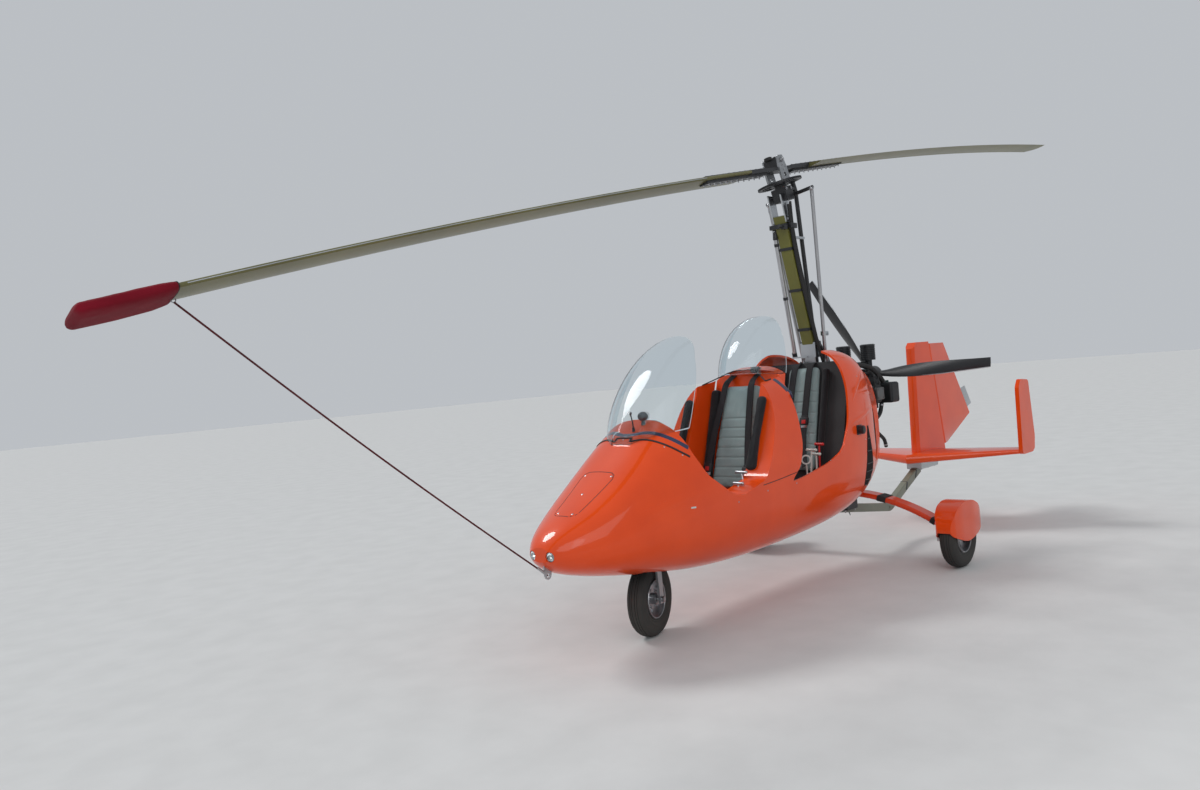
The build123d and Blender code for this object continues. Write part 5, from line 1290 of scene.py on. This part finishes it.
# probe stalk and round compass on the hood
hoodThings = dict(probe=(1.606, 0.03), compass=(1.558, 0.06), above=1.6)
probe, normal = hitOf((*hoodThings["probe"], hoodThings["above"]), down)
compass, normal = hitOf((*hoodThings["compass"], hoodThings["above"]), down)
up = Vector((0, 0, 1))
makePieces("hood instruments", {
    "hoodProbe": dict(finish="blackPlastic", once=[
        (rod, probe - up * 0.003, probe + up * 0.02, 0.0085, 0.0065),
        (tube, [probe + up * 0.015, probe + Vector((0.004, 0, 0.05)), probe + Vector((0.012, 0, 0.085))],
         0.0032, 8),
        (rod, probe + Vector((0.000, -0.012, 0.088)), probe + Vector((0.024, 0.012, 0.098)), 0.0058)]),
    "hoodCompass": dict(finish="castMetal", once=[
        (rod, compass - up * 0.003, compass + up * 0.024, 0.013, 0.008),
        (ball, compass + up * 0.043, 0.029, (0.92, 1.0, 0.85))]),
    "compassGlass": dict(finish="lampGlass", once=[
        (turned, [(0, 0.024), (0.005, 0.023), (0.009, 0.016), (0.010, 0)],
         compass + Vector((-0.0215, 0, 0.043)), (-1, 0, 0), 28)]),
})

# undercarriage: sleeves round the bow, clamp, knuckle and fork bolts, brake discs and the belly antenna
bow = dict(station=-0.541, middle=0.46, end=0.285, half=0.665)
bowDrop = bow["middle"] - bow["end"]
bowRadius = (bow["half"] ** 2 + bowDrop ** 2) / (2 * bowDrop)
bowCentre = Vector((bow["station"], 0, bow["middle"] - bowRadius))
sleeves = [dict(start=0.275, length=0.06, steps=8), dict(start=0.635, length=0.028, steps=5)]
sleeveSection = [(-0.0585, -0.012), (-0.0505, -0.0195), (0.0505, -0.0195), (0.0585, -0.012), (0.0585, 0.012),
                 (0.0505, 0.0195), (-0.0505, 0.0195), (-0.0585, 0.012)]
clampBolts = dict(reach=0.066, side=0.04, height=0.34, tail=0.322)
knuckleBolts = dict(reach=0.026, side=0.665, heights=(0.295, 0.185))
brake = dict(inset=0.030, half=0.002, inner=0.045, outer=0.078)
sleeveShapes, gearBolts = [], []
for sleeve in sleeves:
    path = []
    for k in range(sleeve["steps"] + 1):
        y = sleeve["start"] + sleeve["length"] * k / sleeve["steps"]
        path.append(bowCentre + Vector((0, y, math.sqrt(bowRadius ** 2 - y ** 2))))
    outward = [(point - bowCentre).normalized() for point in path]
    sleeveShapes.append((sweep, path, sleeveSection, outward))
for face in (-1, 1):
    station, height = bow["station"] + face * clampBolts["reach"], clampBolts["height"]
    gearBolts += [(bolt, (station, clampBolts["side"], height), (0, 0, -1), 0.008),
                  (rod, (station, clampBolts["side"], height),
                   (station, clampBolts["side"], clampBolts["tail"]),
                   0.0045, None, 12)]
    for height in knuckleBolts["heights"]:
        gearBolts.append((bolt, (bow["station"] + face * knuckleBolts["reach"], knuckleBolts["side"], height),
                          (0, -1, 0), 0.006))
places["forkSides"] = [Matrix.Translation((forkAxis, 0, 0)) @ Matrix.Rotation(steerTurn, 4, "Z") @ place
                       for place in places["bothSides"]]
discProfile = [(-brake["half"], brake["inner"]), (-brake["half"], brake["outer"]),
               (brake["half"], brake["outer"]), (brake["half"], brake["inner"])]
discs = {}
for name, side in (("left", 1), ("right", -1)):
    middle = (mainAxle["station"], side * (mainAxle["side"] - brake["inset"]), axleHeight)
    discs[name + "BrakeDisc"] = dict(finish="steel", body=name + "_wheel", once=[
        (turned, discProfile, middle, (0, 1, 0), 48, True)])
makePieces("undercarriage", {
    "bowSleeves": dict(finish="rubber", bothSides=sleeveShapes),
    "gearBolts": dict(finish="steel", bothSides=gearBolts),
    "forkBolts": dict(finish="steel", body="nose_fork", forkSides=[
        (rod, (-0.03, 0.0755, axleHeight), (-0.03, 0.0875, axleHeight), 0.0155, None, 6),
        (bolt, (-0.033, 0.074, 0.442), (0, 1, 0), 0.0052), (bolt, (-0.007, 0.074, 0.442), (0, 1, 0),
                                                            0.0052)]),
    **discs,
    "bellyAntenna": dict(finish="blackPlastic", once=[
        (rod, (-0.556, 0, 0.383), (-0.575, 0, 0.345), 0.012, 0.006),
        (rod, (-0.575, 0, 0.348), (-0.607, 0, 0.284), 0.0055, 0.003)]),
})

# tail: bracket bolts, tab rivets and clamps on the keel tube
bracketBolts = dict(stations=(-1.92, -1.80, -1.68), side=0.042, height=0.47, radius=0.007)
tabRivets = dict(top=(-2.648, 0.003, 1.03), foot=(-2.752, 0.003, 0.885), count=5, radius=0.0035)
keelClamp = dict(size=(0.02, 0.054, 0.066), bevel=0.004, spots=[(-1.45, 0.0, 0.369), (-1.62, 0.0, 0.44)],
                 turn=Matrix.Rotation(math.radians(-22.5), 4, "Y"))
tailShapes = [(bolt, (station, bracketBolts["side"], bracketBolts["height"]), (0, 0, -1),
               bracketBolts["radius"])
              for station in bracketBolts["stations"]]
for k in range(tabRivets["count"]):
    spot = Vector(tabRivets["top"]).lerp(Vector(tabRivets["foot"]), (k + 0.5) / tabRivets["count"])
    tailShapes.append((screw, spot, (0, 1, 0), tabRivets["radius"]))
makePieces("tail", {
    "tailBolts": dict(finish="steel", bothSides=tailShapes),
    "keelClamps": dict(finish="blackMetal", once=[
        (box, spot, keelClamp["size"], keelClamp["bevel"],
         keelClamp["turn"]) for spot in keelClamp["spots"]]),
})

# camera at the photograph's angle
cameraView = dict(place=(5.121, 3.232, 1.402), yaw=-135.74, pitch=-1.16, roll=4.82, lens=27.213, sensor=36.0,
                  reach=200.0)
yaw, pitch, roll = (math.radians(cameraView[name]) for name in ("yaw", "pitch", "roll"))
look = Vector((math.cos(pitch) * math.cos(yaw), math.cos(pitch) * math.sin(yaw), math.sin(pitch)))
level = Vector((math.sin(yaw), -math.cos(yaw), 0))
upright = level.cross(look)
right = math.cos(roll) * level - math.sin(roll) * upright
up = math.sin(roll) * level + math.cos(roll) * upright
cameraData = bpy.data.cameras.new("photoCamera")
cameraData.sensor_width = cameraView["sensor"]
cameraData.lens = cameraView["lens"]
cameraData.clip_end = cameraView["reach"]
camera = bpy.data.objects.new("photoCamera", cameraData)
camera.matrix_world = (Matrix.Translation(cameraView["place"]) @
                       Matrix((right, up, -look)).transposed().to_4x4())
bpy.context.scene.collection.objects.link(camera)
bpy.context.scene.camera = camera

# soft studio light and a pale floor
lights = {
    "keyLight": dict(kind="SUN", place=(1.5, -6.0, 8.0), size=0.3, power=1.15),
    "fillLight": dict(kind="SUN", place=(6.0, 5.0, 5.5), size=0.6, power=0.4),
    "sideLight": dict(kind="AREA", place=(5.0, 6.5, 5.5), size=5.0, power=90.0),
}
sky = dict(color=(0.86, 0.9, 0.95, 1.0), strength=0.58)
floorLook = dict(color=(0.66, 0.66, 0.65), dark=(0.62, 0.62, 0.61), rough=0.9, bump=0.1)
floorReach = 60.0
lightAim = Vector((0, 0, 1))
for name, light in lights.items():
    data = bpy.data.lights.new(name, light["kind"])
    if light["kind"] == "SUN":
        data.angle = light["size"]
    else:
        data.size = light["size"]
    data.energy = light["power"]
    lamp = bpy.data.objects.new(name, data)
    lamp.location = light["place"]
    lamp.rotation_euler = (lightAim - lamp.location).to_track_quat("-Z", "Y").to_euler()
    bpy.context.scene.collection.objects.link(lamp)
world = bpy.data.worlds.new("studio")
world.use_nodes = True
world.node_tree.nodes["Background"].inputs["Color"].default_value = sky["color"]
world.node_tree.nodes["Background"].inputs["Strength"].default_value = sky["strength"]
bpy.context.scene.world = world
bpy.context.scene.view_settings.view_transform = "Standard"
bm = bmesh.new()
bmesh.ops.create_grid(bm, x_segments=1, y_segments=1, size=floorReach)
floorMesh = bpy.data.meshes.new("studioFloor")
bm.to_mesh(floorMesh)
bm.free()
studioFloor = bpy.data.objects.new("studioFloor", floorMesh)
bpy.context.scene.collection.objects.link(studioFloor)
floorMesh.materials.append(makeMaterial("floorPaint", floorLook))
print("camera, light and floor ready")
